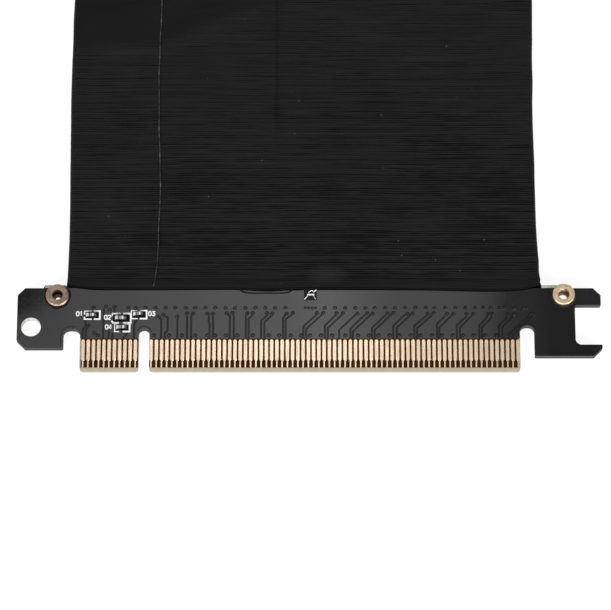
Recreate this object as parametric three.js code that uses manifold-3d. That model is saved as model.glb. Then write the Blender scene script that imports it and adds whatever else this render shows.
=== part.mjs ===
// Flat riser cable for a graphics card: an edge board that plugs into a
// motherboard slot, a wide flat cable in a black cloth jacket, and a slot
// board at the far end that takes the card.
//
// Millimetres, +Z up.  The part lies flat on a table.  Its own origin is the
// middle of its underside.  Inside this file everything is laid out in
// working coordinates: X across the cable, Y along it away from the gold
// edge, Z = 0 the surface it lies on; the outer group then shifts that
// layout onto the origin.

import * as THREE from 'three';
import { mergeVertices } from 'three/addons/utils/BufferGeometryUtils.js';
import Module from 'manifold-3d';

const wasm = await Module();
wasm.setup();

// ------------------------------------------------------------ dimensions
const BOARD_T = 1.57;             // laminate thickness of both boards
const BOARD_Z0 = 0.65;            // underside of both boards above the table
const BOARD_Z1 = BOARD_Z0 + BOARD_T;

const PITCH = 1.0;                // contact pitch of the card edge
const PINS_SHORT = 11;            // contacts before the key
const PINS_LONG = 71;             // contacts after the key
const PIN1_X = -42.45;            // first contact
const PIN12_X = -29.45;           // first contact after the key

// male edge board, top outline
const M_LEFT = -55.2;
const M_RIGHT = 56.7;
const M_ARM_RIGHT = 56.6;         // end of the upper arm of the hook
const M_BACK = 3.45;
const M_BACK_CH = 1.45;           // chamfer of the two back corners
const EAR_BOTTOM = -8.72;
const EAR_CH = 1.65;
const EAR_RIGHT = -46.3;
const EAR_HOLE = { x: -52.5, y: -4.49, r: 1.9 };
const TONGUE_L = -43.08;
const TONGUE_R = 40.97;
const TONGUE_TIP = -13.3;
const TONGUE_R_TIP = 0.75;        // rounding of the plug-in edge's four corners
const TIP_BEVEL_L = 0.55;         // bevel of the plug-in edge, along Y
const TIP_BEVEL_D = 0.35;         // and its drop, on both faces
const CUT_L_TOP = -4.84;          // top of the cut-out left of the tongue
const KEY_L = -31.87;
const KEY_R = -29.82;
const KEY_TOP = -4.75;
const CUT_R_TOP = -4.17;          // top of the cut-out right of the tongue
const CUT_R_RIGHT = 43.77;
const HOOK_BOTTOM = -10.34;
const HOOK_CH = 1.65;
const HOOK_ARM_END = -8.05;       // top edge of the hook's lower arm
const HOOK_GAP_L = 51.6;
const HOOK_GAP_TOP = 0.0;
const LUG_OUT = 0.6;              // broken-off panel lugs at the back edge
const LUG_L = [-50.0, -45.95];
const LUG_R = [45.25, 50.85];
const TAIL_X0 = -44.4;            // hidden rear tongue, inside the jacket
const TAIL_X1 = 43.3;
const TAIL_Y = 12.5;

// brass standoffs through the male board
const STAND_L = [-47.55, 1.82];
const STAND_R = [49.5, 2.0];
const STAND_OD_L = 4.45;
const STAND_OD_R = 4.25;
const STAND_SHANK = 3.2;
const STAND_HOLE = 3.5;           // hole in the board
const STAND_BORE = 2.0;
const STAND_TOP = BOARD_Z1 + 0.8;

// cable jacket
const J_X0 = -45.65;
const J_X1 = 44.55;
const J_Y0 = 3.2;
const J_LEN = 200.0;
const J_T = 2.87;
const J_WALL = 0.35;
const J_Y1 = J_Y0 + J_LEN;

// cable strips inside the jacket: two layers of four
const STRIP_W = 21.6;
const STRIP_GAP = 0.5;
const STRIP_T = 0.9;
const STRIP_X0 = -44.5;
const STRIP_END = 1.5;            // body stops this far behind each board
const STRIP_TAIL_T = 0.12;        // flattened solder tails on the boards
const STRIP_TAIL_LAP = 6.3;

// slot board
const F_X0 = -54.55;
const F_X1 = 53.45;
const F_Y0 = 203.6;
const F_Y1 = 231.0;
const F_TAIL_Y = 194.0;
const F_CH = 1.5;
const F_HOLES = [[-50.3, 208.2], [-50.3, 226.6], [49.2, 208.2], [49.2, 226.6]];
const F_HOLE_R = 1.7;

// slot housing
const S_CX = -1.05;               // middle of the card edge
const S_CY = 219.6;
const S_LEN = 89.0;
const S_W = 7.6;
const S_Z0 = BOARD_Z1 + 0.05;
const S_Z1 = S_Z0 + 11.2;
const S_CARD = 1.8;               // gap for the card's edge
const S_CHAMBER = 2.45;           // contacts stand within this half width
const S_DEEP = 8.9;               // depth of the card gap
const S_LEAD = 0.6;               // lead-in chamfer at the mouth
const S_X0 = TONGUE_L - 0.15;
const S_X1 = TONGUE_R + 0.15;
const S_KEY0 = KEY_L + 0.15;
const S_KEY1 = KEY_R - 0.15;
const PEG_R = 1.15;
const PEG_HOLE_R = 1.3;
const PEG_X = [-44.3, 42.2];

// -------------------------------------------------------------- helpers
const UP = new THREE.Matrix4();
// shape (y, z) extruded along +X
const ALONG_X = new THREE.Matrix4().makeBasis(
  new THREE.Vector3(0, 1, 0), new THREE.Vector3(0, 0, 1), new THREE.Vector3(1, 0, 0));
// shape (x, z) extruded along -Y
const ALONG_Y = new THREE.Matrix4().makeBasis(
  new THREE.Vector3(1, 0, 0), new THREE.Vector3(0, 0, 1), new THREE.Vector3(0, -1, 0));

function clean(geometry) {
  const g = geometry.clone();
  for (const name of Object.keys(g.attributes)) if (name !== 'position') g.deleteAttribute(name);
  return mergeVertices(g, 1e-4);
}

function extrude(shape, depth, basis = UP, segments = 6) {
  const g = new THREE.ExtrudeGeometry(shape, { depth, bevelEnabled: false, curveSegments: segments });
  g.applyMatrix4(basis);
  return g;
}

function toSolid(geometry) {
  const g = clean(geometry);
  return new wasm.Manifold(new wasm.Mesh({
    numProp: 3,
    vertProperties: new Float32Array(g.attributes.position.array),
    triVerts: new Uint32Array(g.index.array),
  }));
}

function fromSolid(solid) {
  const m = solid.getMesh();
  const g = new THREE.BufferGeometry();
  g.setAttribute('position', new THREE.BufferAttribute(new Float32Array(m.vertProperties), 3));
  g.setIndex(new THREE.BufferAttribute(new Uint32Array(m.triVerts), 1));
  return g;
}

// corners: [x, y] or [x, y, r] for a corner rounded with radius r
function outline(corners, segments = 4) {
  const pts = [];
  const n = corners.length;
  for (let i = 0; i < n; i++) {
    const [x, y, r] = corners[i];
    if (!r) { pts.push(new THREE.Vector2(x, y)); continue; }
    const p = new THREE.Vector2(x, y);
    const a = new THREE.Vector2(...corners[(i + n - 1) % n].slice(0, 2)).sub(p).normalize();
    const b = new THREE.Vector2(...corners[(i + 1) % n].slice(0, 2)).sub(p).normalize();
    const half = Math.acos(THREE.MathUtils.clamp(a.dot(b), -1, 1)) / 2;
    const t = r / Math.tan(half);
    const c = a.clone().add(b).normalize().multiplyScalar(r / Math.sin(half)).add(p);
    const p0 = p.clone().addScaledVector(a, t);
    const p1 = p.clone().addScaledVector(b, t);
    let a0 = Math.atan2(p0.y - c.y, p0.x - c.x);
    let a1 = Math.atan2(p1.y - c.y, p1.x - c.x);
    let d = a1 - a0;
    while (d > Math.PI) d -= 2 * Math.PI;
    while (d < -Math.PI) d += 2 * Math.PI;
    for (let k = 0; k <= segments; k++) {
      const w = a0 + d * k / segments;
      pts.push(new THREE.Vector2(c.x + r * Math.cos(w), c.y + r * Math.sin(w)));
    }
  }
  return new THREE.Shape(pts);
}

function circle(x, y, r, n = 24) {
  const pts = [];
  for (let k = 0; k < n; k++) {
    const w = 2 * Math.PI * k / n;
    pts.push(new THREE.Vector2(x + r * Math.cos(w), y + r * Math.sin(w)));
  }
  return new THREE.Path(pts);
}

function rect(x0, y0, x1, y1, r = 0, segments = 4) {
  return outline([[x0, y0, r], [x1, y0, r], [x1, y1, r], [x0, y1, r]], segments);
}

const layout = new THREE.Group();

function add(name, geometry, colour, roughness, metalness, position = [0, 0, 0]) {
  const mesh = new THREE.Mesh(geometry, new THREE.MeshStandardMaterial({
    color: colour, roughness, metalness,
  }));
  mesh.name = name;
  mesh.position.set(...position);
  layout.add(mesh);
  return mesh;
}

const BLACK_BOARD = 0x222224;
const CLOTH = 0x202022;
const BRASS = 0xc8af84;

// ------------------------------------------------------ male edge board
{
  const shape = outline([
    [M_LEFT, M_BACK - M_BACK_CH],
    [M_LEFT, EAR_BOTTOM + EAR_CH],
    [M_LEFT + EAR_CH, EAR_BOTTOM],
    [EAR_RIGHT, EAR_BOTTOM, 0.25],
    [EAR_RIGHT, CUT_L_TOP, 1.2],
    [TONGUE_L, CUT_L_TOP, 1.2],
    [TONGUE_L, TONGUE_TIP, TONGUE_R_TIP],
    [KEY_L, TONGUE_TIP, TONGUE_R_TIP],
    [KEY_L, KEY_TOP, 0.95],
    [KEY_R, KEY_TOP, 0.95],
    [KEY_R, TONGUE_TIP, TONGUE_R_TIP],
    [TONGUE_R, TONGUE_TIP, TONGUE_R_TIP],
    [TONGUE_R, CUT_R_TOP, 1.2],
    [CUT_R_RIGHT, CUT_R_TOP, 1.2],
    [CUT_R_RIGHT, HOOK_BOTTOM, 0.25],
    [M_RIGHT - HOOK_CH, HOOK_BOTTOM],
    [M_RIGHT, HOOK_BOTTOM + HOOK_CH],
    [M_RIGHT, HOOK_ARM_END, 0.2],
    [HOOK_GAP_L, HOOK_ARM_END, 1.1],
    [HOOK_GAP_L, HOOK_GAP_TOP, 0.4],
    [M_ARM_RIGHT, HOOK_GAP_TOP, 0.2],
    [M_ARM_RIGHT, M_BACK - M_BACK_CH],
    [M_ARM_RIGHT - M_BACK_CH, M_BACK],
    [LUG_R[1] + 0.25, M_BACK],
    [LUG_R[1], M_BACK + LUG_OUT],
    [LUG_R[0], M_BACK + LUG_OUT],
    [LUG_R[0] - 0.25, M_BACK],
    [TAIL_X1, M_BACK, 0.4],
    [TAIL_X1, TAIL_Y, 0.8],
    [TAIL_X0, TAIL_Y, 0.8],
    [TAIL_X0, M_BACK, 0.4],
    [LUG_L[1] + 0.25, M_BACK],
    [LUG_L[1], M_BACK + LUG_OUT],
    [LUG_L[0], M_BACK + LUG_OUT],
    [LUG_L[0] - 0.25, M_BACK],
    [M_LEFT + M_BACK_CH, M_BACK],
  ]);
  shape.holes.push(circle(EAR_HOLE.x, EAR_HOLE.y, EAR_HOLE.r, 28));
  shape.holes.push(circle(STAND_L[0], STAND_L[1], STAND_HOLE / 2, 20));
  shape.holes.push(circle(STAND_R[0], STAND_R[1], STAND_HOLE / 2, 20));
  let board = toSolid(extrude(shape, BOARD_T));

  // bevel of the plug-in edge, above and below
  const wedge = (z0, s) => outline([
    [TONGUE_TIP + TIP_BEVEL_L, z0],
    [TONGUE_TIP - TIP_BEVEL_L, z0 + s * 2 * TIP_BEVEL_D],
    [TONGUE_TIP - 2, z0 + s * 2 * TIP_BEVEL_D],
    [TONGUE_TIP - 2, z0 - s * 0.5],
    [TONGUE_TIP + TIP_BEVEL_L, z0 - s * 0.5],
  ]);
  for (const [z0, s] of [[BOARD_T, -1], [0, 1]]) {
    const g = extrude(wedge(z0, s), 90, ALONG_X);
    g.translate(-46, 0, 0);
    board = board.subtract(toSolid(g));
  }
  add('male_board', fromSolid(board), BLACK_BOARD, 0.3, 0.0, [0, 0, BOARD_Z0]);
}

// ----------------------------------------------------------- standoffs
function standoff(od) {
  const R = od / 2, S = STAND_SHANK / 2, B = STAND_BORE / 2;
  const za = BOARD_Z0 - 0.05, zb = BOARD_Z1 + 0.05, c = 0.15;
  const profile = [
    [B, 0.1], [B + 0.1, 0], [R - c, 0], [R, c], [R, za], [S, za], [S, zb], [R, zb],
    [R, STAND_TOP - c], [R - c, STAND_TOP], [B + c, STAND_TOP], [B, STAND_TOP - c], [B, 0.1],
  ].map(([x, y]) => new THREE.Vector2(x, y));
  const g = new THREE.LatheGeometry(profile, 24);
  g.rotateX(Math.PI / 2);
  return fromSolid(toSolid(g));
}
add('standoff_left', standoff(STAND_OD_L), BRASS, 0.3, 1.0, [STAND_L[0], STAND_L[1], 0]);
add('standoff_right', standoff(STAND_OD_R), BRASS, 0.3, 1.0, [STAND_R[0], STAND_R[1], 0]);

// ------------------------------------------- chip capacitors, male board
const CAPS = [
  // name, middle x, middle y, size x, size y
  ['capacitor_1', -41.03, -2.05, 1.7, 0.85],
  ['capacitor_2', -35.38, -2.65, 1.85, 0.9],
  ['capacitor_3', -32.05, -1.82, 1.6, 0.85],
  ['capacitor_4', -35.2, -4.55, 1.7, 0.85],
];
for (const [name, x, y, w, d] of CAPS) {
  add(name, extrude(rect(-w / 2, -d / 2, w / 2, d / 2, 0.08, 2), 0.5), 0x9a8f80, 0.5, 0.0,
    [x, y, BOARD_Z1 + 0.02]);
}

// -------------------------- soldered ground strap at the jacket's mouth
{
  const profile = outline([
    [-1.22, 0], [1.22, 0], [1.22, 0.12], [0.55, 0.2], [0.3, 0.42], [-0.3, 0.42], [-0.55, 0.2], [-1.22, 0.12],
  ]);
  const g = extrude(profile, 2.1, ALONG_Y);
  g.translate(0, 1.05, 0);
  add('ground_strap', g, 0x55554f, 0.4, 0.6, [0.94, 2.1, BOARD_Z1 + 0.02]);
}

// -------------------------------------------------------- cable jacket
{
  const shape = rect(J_X0, 0, J_X1, J_T, 1.15, 5);
  shape.holes.push(new THREE.Path(
    rect(J_X0 + J_WALL, J_WALL, J_X1 - J_WALL, J_T - J_WALL, 0.8, 5).getPoints()));
  const g = extrude(shape, J_LEN, ALONG_Y);
  g.translate(0, J_Y1, 0);
  let sleeve = toSolid(g);
  // its side folds are slit where the shoulders of the edge board enter
  for (const x of [J_X0, J_X1]) {
    const slit = extrude(rect(x - 1, J_Y0 - 1, x + 1, M_BACK + 0.1), BOARD_T + 0.1);
    slit.translate(0, 0, BOARD_Z0 - 0.05);
    sleeve = sleeve.subtract(toSolid(slit));
  }
  add('cable_jacket', fromSolid(sleeve), CLOTH, 0.9, 0.0);
}

// ------------------------------------- cable strips, two layers of four
{
  const ya = TAIL_Y + STRIP_END, yb = F_TAIL_Y - STRIP_END;
  const ta = TAIL_Y - STRIP_TAIL_LAP, tb = F_TAIL_Y + STRIP_TAIL_LAP;
  const upper = BOARD_Z1 + 0.03 + STRIP_TAIL_T;      // top of the upper layer
  const lower = BOARD_Z0 - 0.03 - STRIP_TAIL_T;      // bottom of the lower layer
  const side = {
    upper: [[ta, upper - STRIP_TAIL_T], [ya, upper - STRIP_TAIL_T], [ya, upper - STRIP_T],
            [yb, upper - STRIP_T], [yb, upper - STRIP_TAIL_T], [tb, upper - STRIP_TAIL_T],
            [tb, upper], [ta, upper]],
    lower: [[ta, lower], [tb, lower], [tb, lower + STRIP_TAIL_T], [yb, lower + STRIP_TAIL_T],
            [yb, lower + STRIP_T], [ya, lower + STRIP_T], [ya, lower + STRIP_TAIL_T],
            [ta, lower + STRIP_TAIL_T]],
  };
  for (const layer of ['upper', 'lower']) {
    for (let i = 0; i < 4; i++) {
      add(`${layer}_strip_${i + 1}`, extrude(outline(side[layer]), STRIP_W, ALONG_X),
        0xb8bcc0, 0.45, 0.3, [STRIP_X0 + i * (STRIP_W + STRIP_GAP), 0, 0]);
    }
  }
  // foil shields against the inside of the jacket, above and below
  for (const [name, z] of [['shield_foil_top', upper + 0.03], ['shield_foil_bottom', lower - 0.11]]) {
    add(name, extrude(rect(STRIP_X0, ta, STRIP_X0 + 4 * STRIP_W + 3 * STRIP_GAP, tb, 1.0), 0.08),
      0xc4c6c8, 0.35, 0.9, [0, 0, z]);
  }
}

// -------------------- glue beads that hold the jacket's ends on the boards
for (const [end, y0] of [['male', 3.8], ['slot', J_Y1 - 2.7]]) {
  const bead = () => extrude(rect(TAIL_X0 + 0.4, y0, TAIL_X1 - 0.4, y0 + 2.0, 0.4), 0.26);
  add(`glue_bead_${end}_top`, bead(), 0xd8d2c0, 0.4, 0.0, [0, 0, BOARD_Z1 + 0.02]);
  add(`glue_bead_${end}_bottom`, bead(), 0xd8d2c0, 0.4, 0.0, [0, 0, BOARD_Z0 - 0.28]);
}

// ---------------------------------------------------------- slot board
{
  const shape = outline([
    [F_X0, F_Y0 + F_CH], [F_X0 + F_CH, F_Y0],
    [TAIL_X0, F_Y0, 0.4], [TAIL_X0, F_TAIL_Y, 0.8], [TAIL_X1, F_TAIL_Y, 0.8], [TAIL_X1, F_Y0, 0.4],
    [F_X1 - F_CH, F_Y0], [F_X1, F_Y0 + F_CH], [F_X1, F_Y1 - F_CH], [F_X1 - F_CH, F_Y1],
    [F_X0 + F_CH, F_Y1], [F_X0, F_Y1 - F_CH],
  ]);
  for (const [x, y] of F_HOLES) shape.holes.push(circle(x, y, F_HOLE_R, 20));
  for (const x of PEG_X) shape.holes.push(circle(x, S_CY, PEG_HOLE_R, 16));
  add('slot_board', extrude(shape, BOARD_T), BLACK_BOARD, 0.3, 0.0, [0, 0, BOARD_Z0]);

  // insulating pad stuck under it
  const pad = rect(F_X0 + 0.9, F_Y0 + 0.8, F_X1 - 0.9, F_Y1 - 0.8, 2.0);
  for (const [x, y] of F_HOLES) pad.holes.push(circle(x, y, F_HOLE_R + 1.0, 20));
  add('insulating_pad', extrude(pad, BOARD_Z0 - 0.05), 0x26262a, 0.8, 0.0);
}

// -------------------------------------------------------- slot housing
{
  const h = S_Z1 - S_Z0;
  let body = toSolid(extrude(
    rect(S_CX - S_LEN / 2, S_CY - S_W / 2, S_CX + S_LEN / 2, S_CY + S_W / 2, 0.4, 3), h));
  for (const x of PEG_X) {
    const peg = new THREE.CylinderGeometry(PEG_R, PEG_R - 0.2, 1.6, 16);
    peg.rotateX(Math.PI / 2);
    peg.translate(x, S_CY, -0.6);
    body = body.add(toSolid(peg));
  }
  for (const [x0, x1] of [[S_X0, S_KEY0], [S_KEY1, S_X1]]) {
    // gap for the card's edge, with a lead-in at the mouth
    const c = S_CARD / 2, l = S_LEAD;
    const gap = outline([
      [S_CY - c, h - S_DEEP], [S_CY + c, h - S_DEEP], [S_CY + c, h - l],
      [S_CY + c + l * 0.8, h + 0.01], [S_CY + c + l * 0.8, h + 1],
      [S_CY - c - l * 0.8, h + 1], [S_CY - c - l * 0.8, h + 0.01], [S_CY - c, h - l],
    ]);
    const g = extrude(gap, x1 - x0, ALONG_X);
    g.translate(x0, 0, 0);
    body = body.subtract(toSolid(g));
    // contact chambers either side of it, open below
    for (const s of [-1, 1]) {
      const a = S_CY + s * (c - 0.2), b = S_CY + s * S_CHAMBER;
      const chamber = rect(Math.min(a, b), -1, Math.max(a, b), h - 1.3);
      const k = extrude(chamber, x1 - x0 - 0.5, ALONG_X);
      k.translate(x0 + 0.25, 0, 0);
      body = body.subtract(toSolid(k));
    }
  }
  add('slot_housing', fromSolid(body), 0x1c1c1e, 0.45, 0.0, [0, 0, S_Z0]);
}

// ------------- contacts of the slot: each row on its carrier strip, as a
// comb with one tine for each contact, its tips leaning towards the card
{
  const tine = 0.5, barH = 0.8, tineH = 8.6, t = 0.25, base = 1.9, lean = 0.1;
  for (const [group, first, count] of [['short', PIN1_X, PINS_SHORT], ['long', PIN12_X, PINS_LONG]]) {
    const pts = [[first - tine / 2, 0], [first + (count - 1) * PITCH + tine / 2, 0]];
    for (let i = count - 1; i >= 0; i--) {
      const x = first + i * PITCH;
      pts.push([x + tine / 2, tineH], [x - tine / 2, tineH]);
      if (i > 0) pts.push([x - tine / 2, barH], [x - PITCH + tine / 2, barH]);
    }
    for (const [row, s] of [['front', -1], ['rear', 1]]) {
      const g = extrude(outline(pts), t, ALONG_Y);
      g.translate(0, t / 2, 0);
      g.applyMatrix4(new THREE.Matrix4().makeShear(0, 0, 0, 0, 0, -s * lean));
      add(`contacts_${row}_${group}`, g, 0xd8b878, 0.3, 1.0,
        [0, S_CY + s * base, S_Z0 + 0.35]);
    }
  }
}

// ------------------------------------------- origin: middle of underside
const object = new THREE.Group();
object.name = 'riser_cable';
layout.position.set(-(M_LEFT + M_RIGHT) / 2, -(TONGUE_TIP + F_Y1) / 2, 0);
object.add(layout);

export default object;
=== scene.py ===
"""Looks of the flat riser cable: materials, light, camera and all fine detail."""

import bpy
import math
import random

import numpy as np
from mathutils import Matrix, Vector


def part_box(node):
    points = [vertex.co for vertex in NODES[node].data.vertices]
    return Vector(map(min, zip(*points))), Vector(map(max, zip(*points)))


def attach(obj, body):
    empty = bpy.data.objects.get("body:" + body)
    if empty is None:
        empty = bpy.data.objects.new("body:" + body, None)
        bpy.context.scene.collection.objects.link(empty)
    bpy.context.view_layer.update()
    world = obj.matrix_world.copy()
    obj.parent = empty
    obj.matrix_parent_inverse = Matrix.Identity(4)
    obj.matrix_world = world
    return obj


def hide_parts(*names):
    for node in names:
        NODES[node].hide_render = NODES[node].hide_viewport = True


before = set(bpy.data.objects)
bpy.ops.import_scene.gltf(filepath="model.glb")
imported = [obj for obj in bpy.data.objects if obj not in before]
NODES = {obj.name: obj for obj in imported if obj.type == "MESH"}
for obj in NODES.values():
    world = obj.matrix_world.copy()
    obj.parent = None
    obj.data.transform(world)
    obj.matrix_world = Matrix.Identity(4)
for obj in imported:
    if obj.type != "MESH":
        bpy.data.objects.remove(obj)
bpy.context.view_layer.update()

# ---------------------------------------------------------------- layout
# Working coordinates in millimetres: X across, Y along, Z = 0 the table.
OX, OY = -0.75, -108.85
BT = 2.22                      # top face of both boards
BB = 0.65                      # underside of both boards


def mm(x, y, z=0.0):
    return ((x + OX) / 1000, (y + OY) / 1000, z / 1000)


def gy(y):
    return (y + OY) / 1000


def gx(x):
    return (x + OX) / 1000


# ---------------------------------------------------------------- camera
TILT = math.radians(20.5)
DIST = 700.0
AIM = (0.0, 0.0, BT)
cam_data = bpy.data.cameras.new("camera")
cam = bpy.data.objects.new("camera", cam_data)
bpy.context.scene.collection.objects.link(cam)
cam_data.sensor_width = 36.0
cam_data.lens = 3653.0 / 611.0 * 36.0
cam_data.clip_start, cam_data.clip_end = 0.01, 20.0
cam.location = mm(AIM[0], AIM[1] - DIST * math.sin(TILT), AIM[2] + DIST * math.cos(TILT))
cam.rotation_euler = (TILT, 0.0, 0.0)
bpy.context.scene.camera = cam


# ------------------------------------------------------------- node tools
class Mat:
    """A node material and short ways to wire it."""

    def __init__(self, name):
        self.m = bpy.data.materials.new(name)
        self.m.use_nodes = True
        self.nt = self.m.node_tree
        self.nt.nodes.clear()
        self.out = self.nt.nodes.new("ShaderNodeOutputMaterial")
        self.b = self.nt.nodes.new("ShaderNodeBsdfPrincipled")
        self.nt.links.new(self.b.outputs[0], self.out.inputs[0])
        self._obj = None

    def new(self, kind):
        return self.nt.nodes.new(kind)

    def link(self, a, b):
        self.nt.links.new(a, b)

    def plug(self, socket, value):
        if hasattr(value, "is_linked") or isinstance(value, bpy.types.NodeSocket):
            self.link(value, socket)
        elif isinstance(value, (tuple, list)) and len(value) == 3 and socket.type == "RGBA":
            socket.default_value = (*value, 1.0)
        else:
            socket.default_value = value

    def set(self, **kw):
        names = {
            "color": "Base Color", "rough": "Roughness", "metal": "Metallic", "spec": "Specular IOR Level",
            "normal": "Normal", "sheen": "Sheen Weight", "sheen_rough": "Sheen Roughness", "coat": "Coat Weight",
            "coat_rough": "Coat Roughness", "aniso": "Anisotropic", "ior": "IOR", "sub": "Subsurface Weight",
            "trans": "Transmission Weight", "alpha": "Alpha", "emit": "Emission Color", "emit_s": "Emission Strength",
        }
        for k, v in kw.items():
            self.plug(self.b.inputs[names[k]], v)
        return self

    def obj(self):
        if self._obj is None:
            self._obj = self.new("ShaderNodeTexCoord").outputs["Object"]
        return self._obj

    def scaled(self, s, vec=None):
        n = self.new("ShaderNodeMapping")
        n.inputs["Scale"].default_value = s
        self.link(vec or self.obj(), n.inputs["Vector"])
        return n.outputs[0]

    def noise(self, scale, detail=3.0, rough=0.55, vec=None):
        n = self.new("ShaderNodeTexNoise")
        n.inputs["Scale"].default_value = scale
        n.inputs["Detail"].default_value = detail
        n.inputs["Roughness"].default_value = rough
        self.link(vec or self.obj(), n.inputs["Vector"])
        return n.outputs[0]

    def voronoi(self, scale, vec=None, feature="F1"):
        n = self.new("ShaderNodeTexVoronoi")
        n.feature = feature
        n.inputs["Scale"].default_value = scale
        self.link(vec or self.obj(), n.inputs["Vector"])
        return n.outputs["Distance"]

    def wave(self, scale, direction="X", distort=0.0, dscale=1.0, vec=None):
        n = self.new("ShaderNodeTexWave")
        n.bands_direction = direction
        n.inputs["Scale"].default_value = scale
        n.inputs["Distortion"].default_value = distort
        n.inputs["Detail"].default_value = 2.0
        n.inputs["Detail Scale"].default_value = dscale
        self.link(vec or self.obj(), n.inputs["Vector"])
        return n.outputs["Fac"]

    def math(self, op, a, b=0.0, c=0.0, clamp=False):
        n = self.new("ShaderNodeMath")
        n.operation = op
        n.use_clamp = clamp
        for i, v in enumerate((a, b, c)):
            if i < len(n.inputs):
                self.plug(n.inputs[i], v)
        return n.outputs[0]

    def axis(self, i):
        n = self.new("ShaderNodeSeparateXYZ")
        self.link(self.obj(), n.inputs[0])
        return n.outputs[i]

    def map(self, fac, a, b, lo=0.0, hi=1.0):
        n = self.new("ShaderNodeMapRange")
        self.plug(n.inputs["Value"], fac)
        n.inputs["From Min"].default_value = a
        n.inputs["From Max"].default_value = b
        n.inputs["To Min"].default_value = lo
        n.inputs["To Max"].default_value = hi
        return n.outputs[0]

    def ramp(self, fac, stops, mode="LINEAR"):
        n = self.new("ShaderNodeValToRGB")
        n.color_ramp.interpolation = mode
        e = n.color_ramp.elements
        while len(e) < len(stops):
            e.new(0.5)
        for i, (p, c) in enumerate(stops):
            e[i].position = p
            e[i].color = (*c, 1.0) if len(c) == 3 else c
        self.link(fac, n.inputs[0])
        return n.outputs[0]

    def mix(self, fac, a, b, mode="MIX"):
        n = self.new("ShaderNodeMix")
        n.data_type = "RGBA"
        n.blend_type = mode
        self.plug(n.inputs[0], fac)
        self.plug(n.inputs[6], a)
        self.plug(n.inputs[7], b)
        return n.outputs[2]

    def bump(self, height, strength=1.0, dist=2e-5, normal=None):
        n = self.new("ShaderNodeBump")
        n.inputs["Strength"].default_value = strength
        n.inputs["Distance"].default_value = dist
        self.link(height, n.inputs["Height"])
        if normal is not None:
            self.link(normal, n.inputs["Normal"])
        return n.outputs[0]


def box_mask(M, x0, x1, y0, y1):
    """1 inside the rectangle given in working millimetres, else 0."""
    x, y = M.axis(0), M.axis(1)
    a = M.math("MULTIPLY", M.math("GREATER_THAN", x, gx(x0)), M.math("LESS_THAN", x, gx(x1)))
    b = M.math("MULTIPLY", M.math("GREATER_THAN", y, gy(y0)), M.math("LESS_THAN", y, gy(y1)))
    return M.math("MULTIPLY", a, b)


# -------------------------------------------------------------- materials
def make_mask(name):
    """Glossy black solder mask over laminate, with the faint weave of the glass cloth under it."""
    M = Mat(name)
    big = M.noise(90.0, 3.0)
    fine = M.noise(1500.0, 3.0)
    weave = M.math("MULTIPLY", M.wave(390.0, "X", 0.6, 2.0), M.wave(390.0, "Y", 0.6, 2.0))
    col = M.ramp(big, [(0.3, (0.0030, 0.0030, 0.0031)), (0.7, (0.0046, 0.0046, 0.0047))])
    h = M.math("ADD", M.math("MULTIPLY", big, 1.6), M.math("ADD", M.math("MULTIPLY", fine, 0.12), M.math("MULTIPLY", weave, 0.05)))
    M.set(color=col, rough=M.map(fine, 0.3, 0.7, 0.045, 0.085), spec=0.5, ior=1.5)
    M.set(normal=M.bump(h, 0.35, 1.2e-5))
    return M.m


MASK = make_mask("solder_mask")


def make_bare(name, lo, hi, scale=5200.0, spec=0.12):
    """Bare laminate without mask: dull, with chopped fibre flecks."""
    M = Mat(name)
    grain = M.noise(scale, 3.0, 0.6)
    fibre = M.noise(2400.0, 3.0, 0.6, M.scaled((1.0, 0.25, 1.0)))
    f = M.math("ADD", M.math("MULTIPLY", fibre, 0.5), M.math("MULTIPLY", grain, 0.5))
    M.set(color=M.ramp(f, [(0.36, lo), (0.62, hi)]), rough=M.map(grain, 0.3, 0.7, 0.55, 0.75), spec=spec)
    M.set(normal=M.bump(f, 0.5, 1.5e-5))
    return M.m


BARE_BROWN = make_bare("laminate_between_contacts", (0.022, 0.0075, 0.0014), (0.053, 0.0232, 0.0053), spec=0.03)
BARE_LIGHT = make_bare("laminate_bare", (0.30, 0.275, 0.215), (0.44, 0.41, 0.33))
BARE_LUG = make_bare("laminate_lug", (0.40, 0.40, 0.36), (0.60, 0.60, 0.55))
# painted reflection and shade: dark brown rings on the board round the standoffs, for each standoff's side mirrored in
# the board and the shade under its flange
PAINTED_HALO = make_bare("standoff_painted_halo", (0.006, 0.0045, 0.0035), (0.022, 0.0125, 0.0075), 2600.0)
PAINTED_HALO_PALE = make_bare("standoff_painted_halo_pale", (0.008, 0.006, 0.0045), (0.075, 0.050, 0.034), 2600.0)
# painted shade: a black sheet inside each chip's printed box, where the chip's shadow falls
CHIP_SHADE_FILM = make_bare("chip_shade_film", (0.0010, 0.0010, 0.0010), (0.0055, 0.0055, 0.0055), 2600.0)


def make_cut_edge(name, lo, hi, rough):
    """Routed edge of glass-fibre laminate: plies across the thickness, chopped fibre ends."""
    M = Mat(name)
    ply = M.wave(1900.0, "Z", 2.0, 4.0)
    grain = M.noise(4200.0, 4.0, 0.65)
    streak = M.noise(900.0, 3.0, vec=M.scaled((1.0, 1.0, 0.15)))
    f = M.math("ADD", M.math("MULTIPLY", ply, 0.25), M.math("ADD", M.math("MULTIPLY", grain, 0.45), M.math("MULTIPLY", streak, 0.3)))
    M.set(color=M.ramp(f, [(0.25, lo), (0.75, hi)]), rough=M.map(grain, 0.3, 0.7, rough - 0.1, rough + 0.1), spec=0.35)
    M.set(normal=M.bump(f, 0.6, 3e-5))
    return M.m


EDGE_DARK = make_cut_edge("laminate_cut_edge", (0.021, 0.021, 0.0205), (0.050, 0.050, 0.048), 0.7)
# painted shade: a darker copy of the cut edge for the front of the left ear
EDGE_PAINTED_SHADE = make_cut_edge("laminate_cut_edge_painted_shade", (0.0135, 0.0135, 0.013), (0.033, 0.033, 0.032), 0.75)
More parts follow.
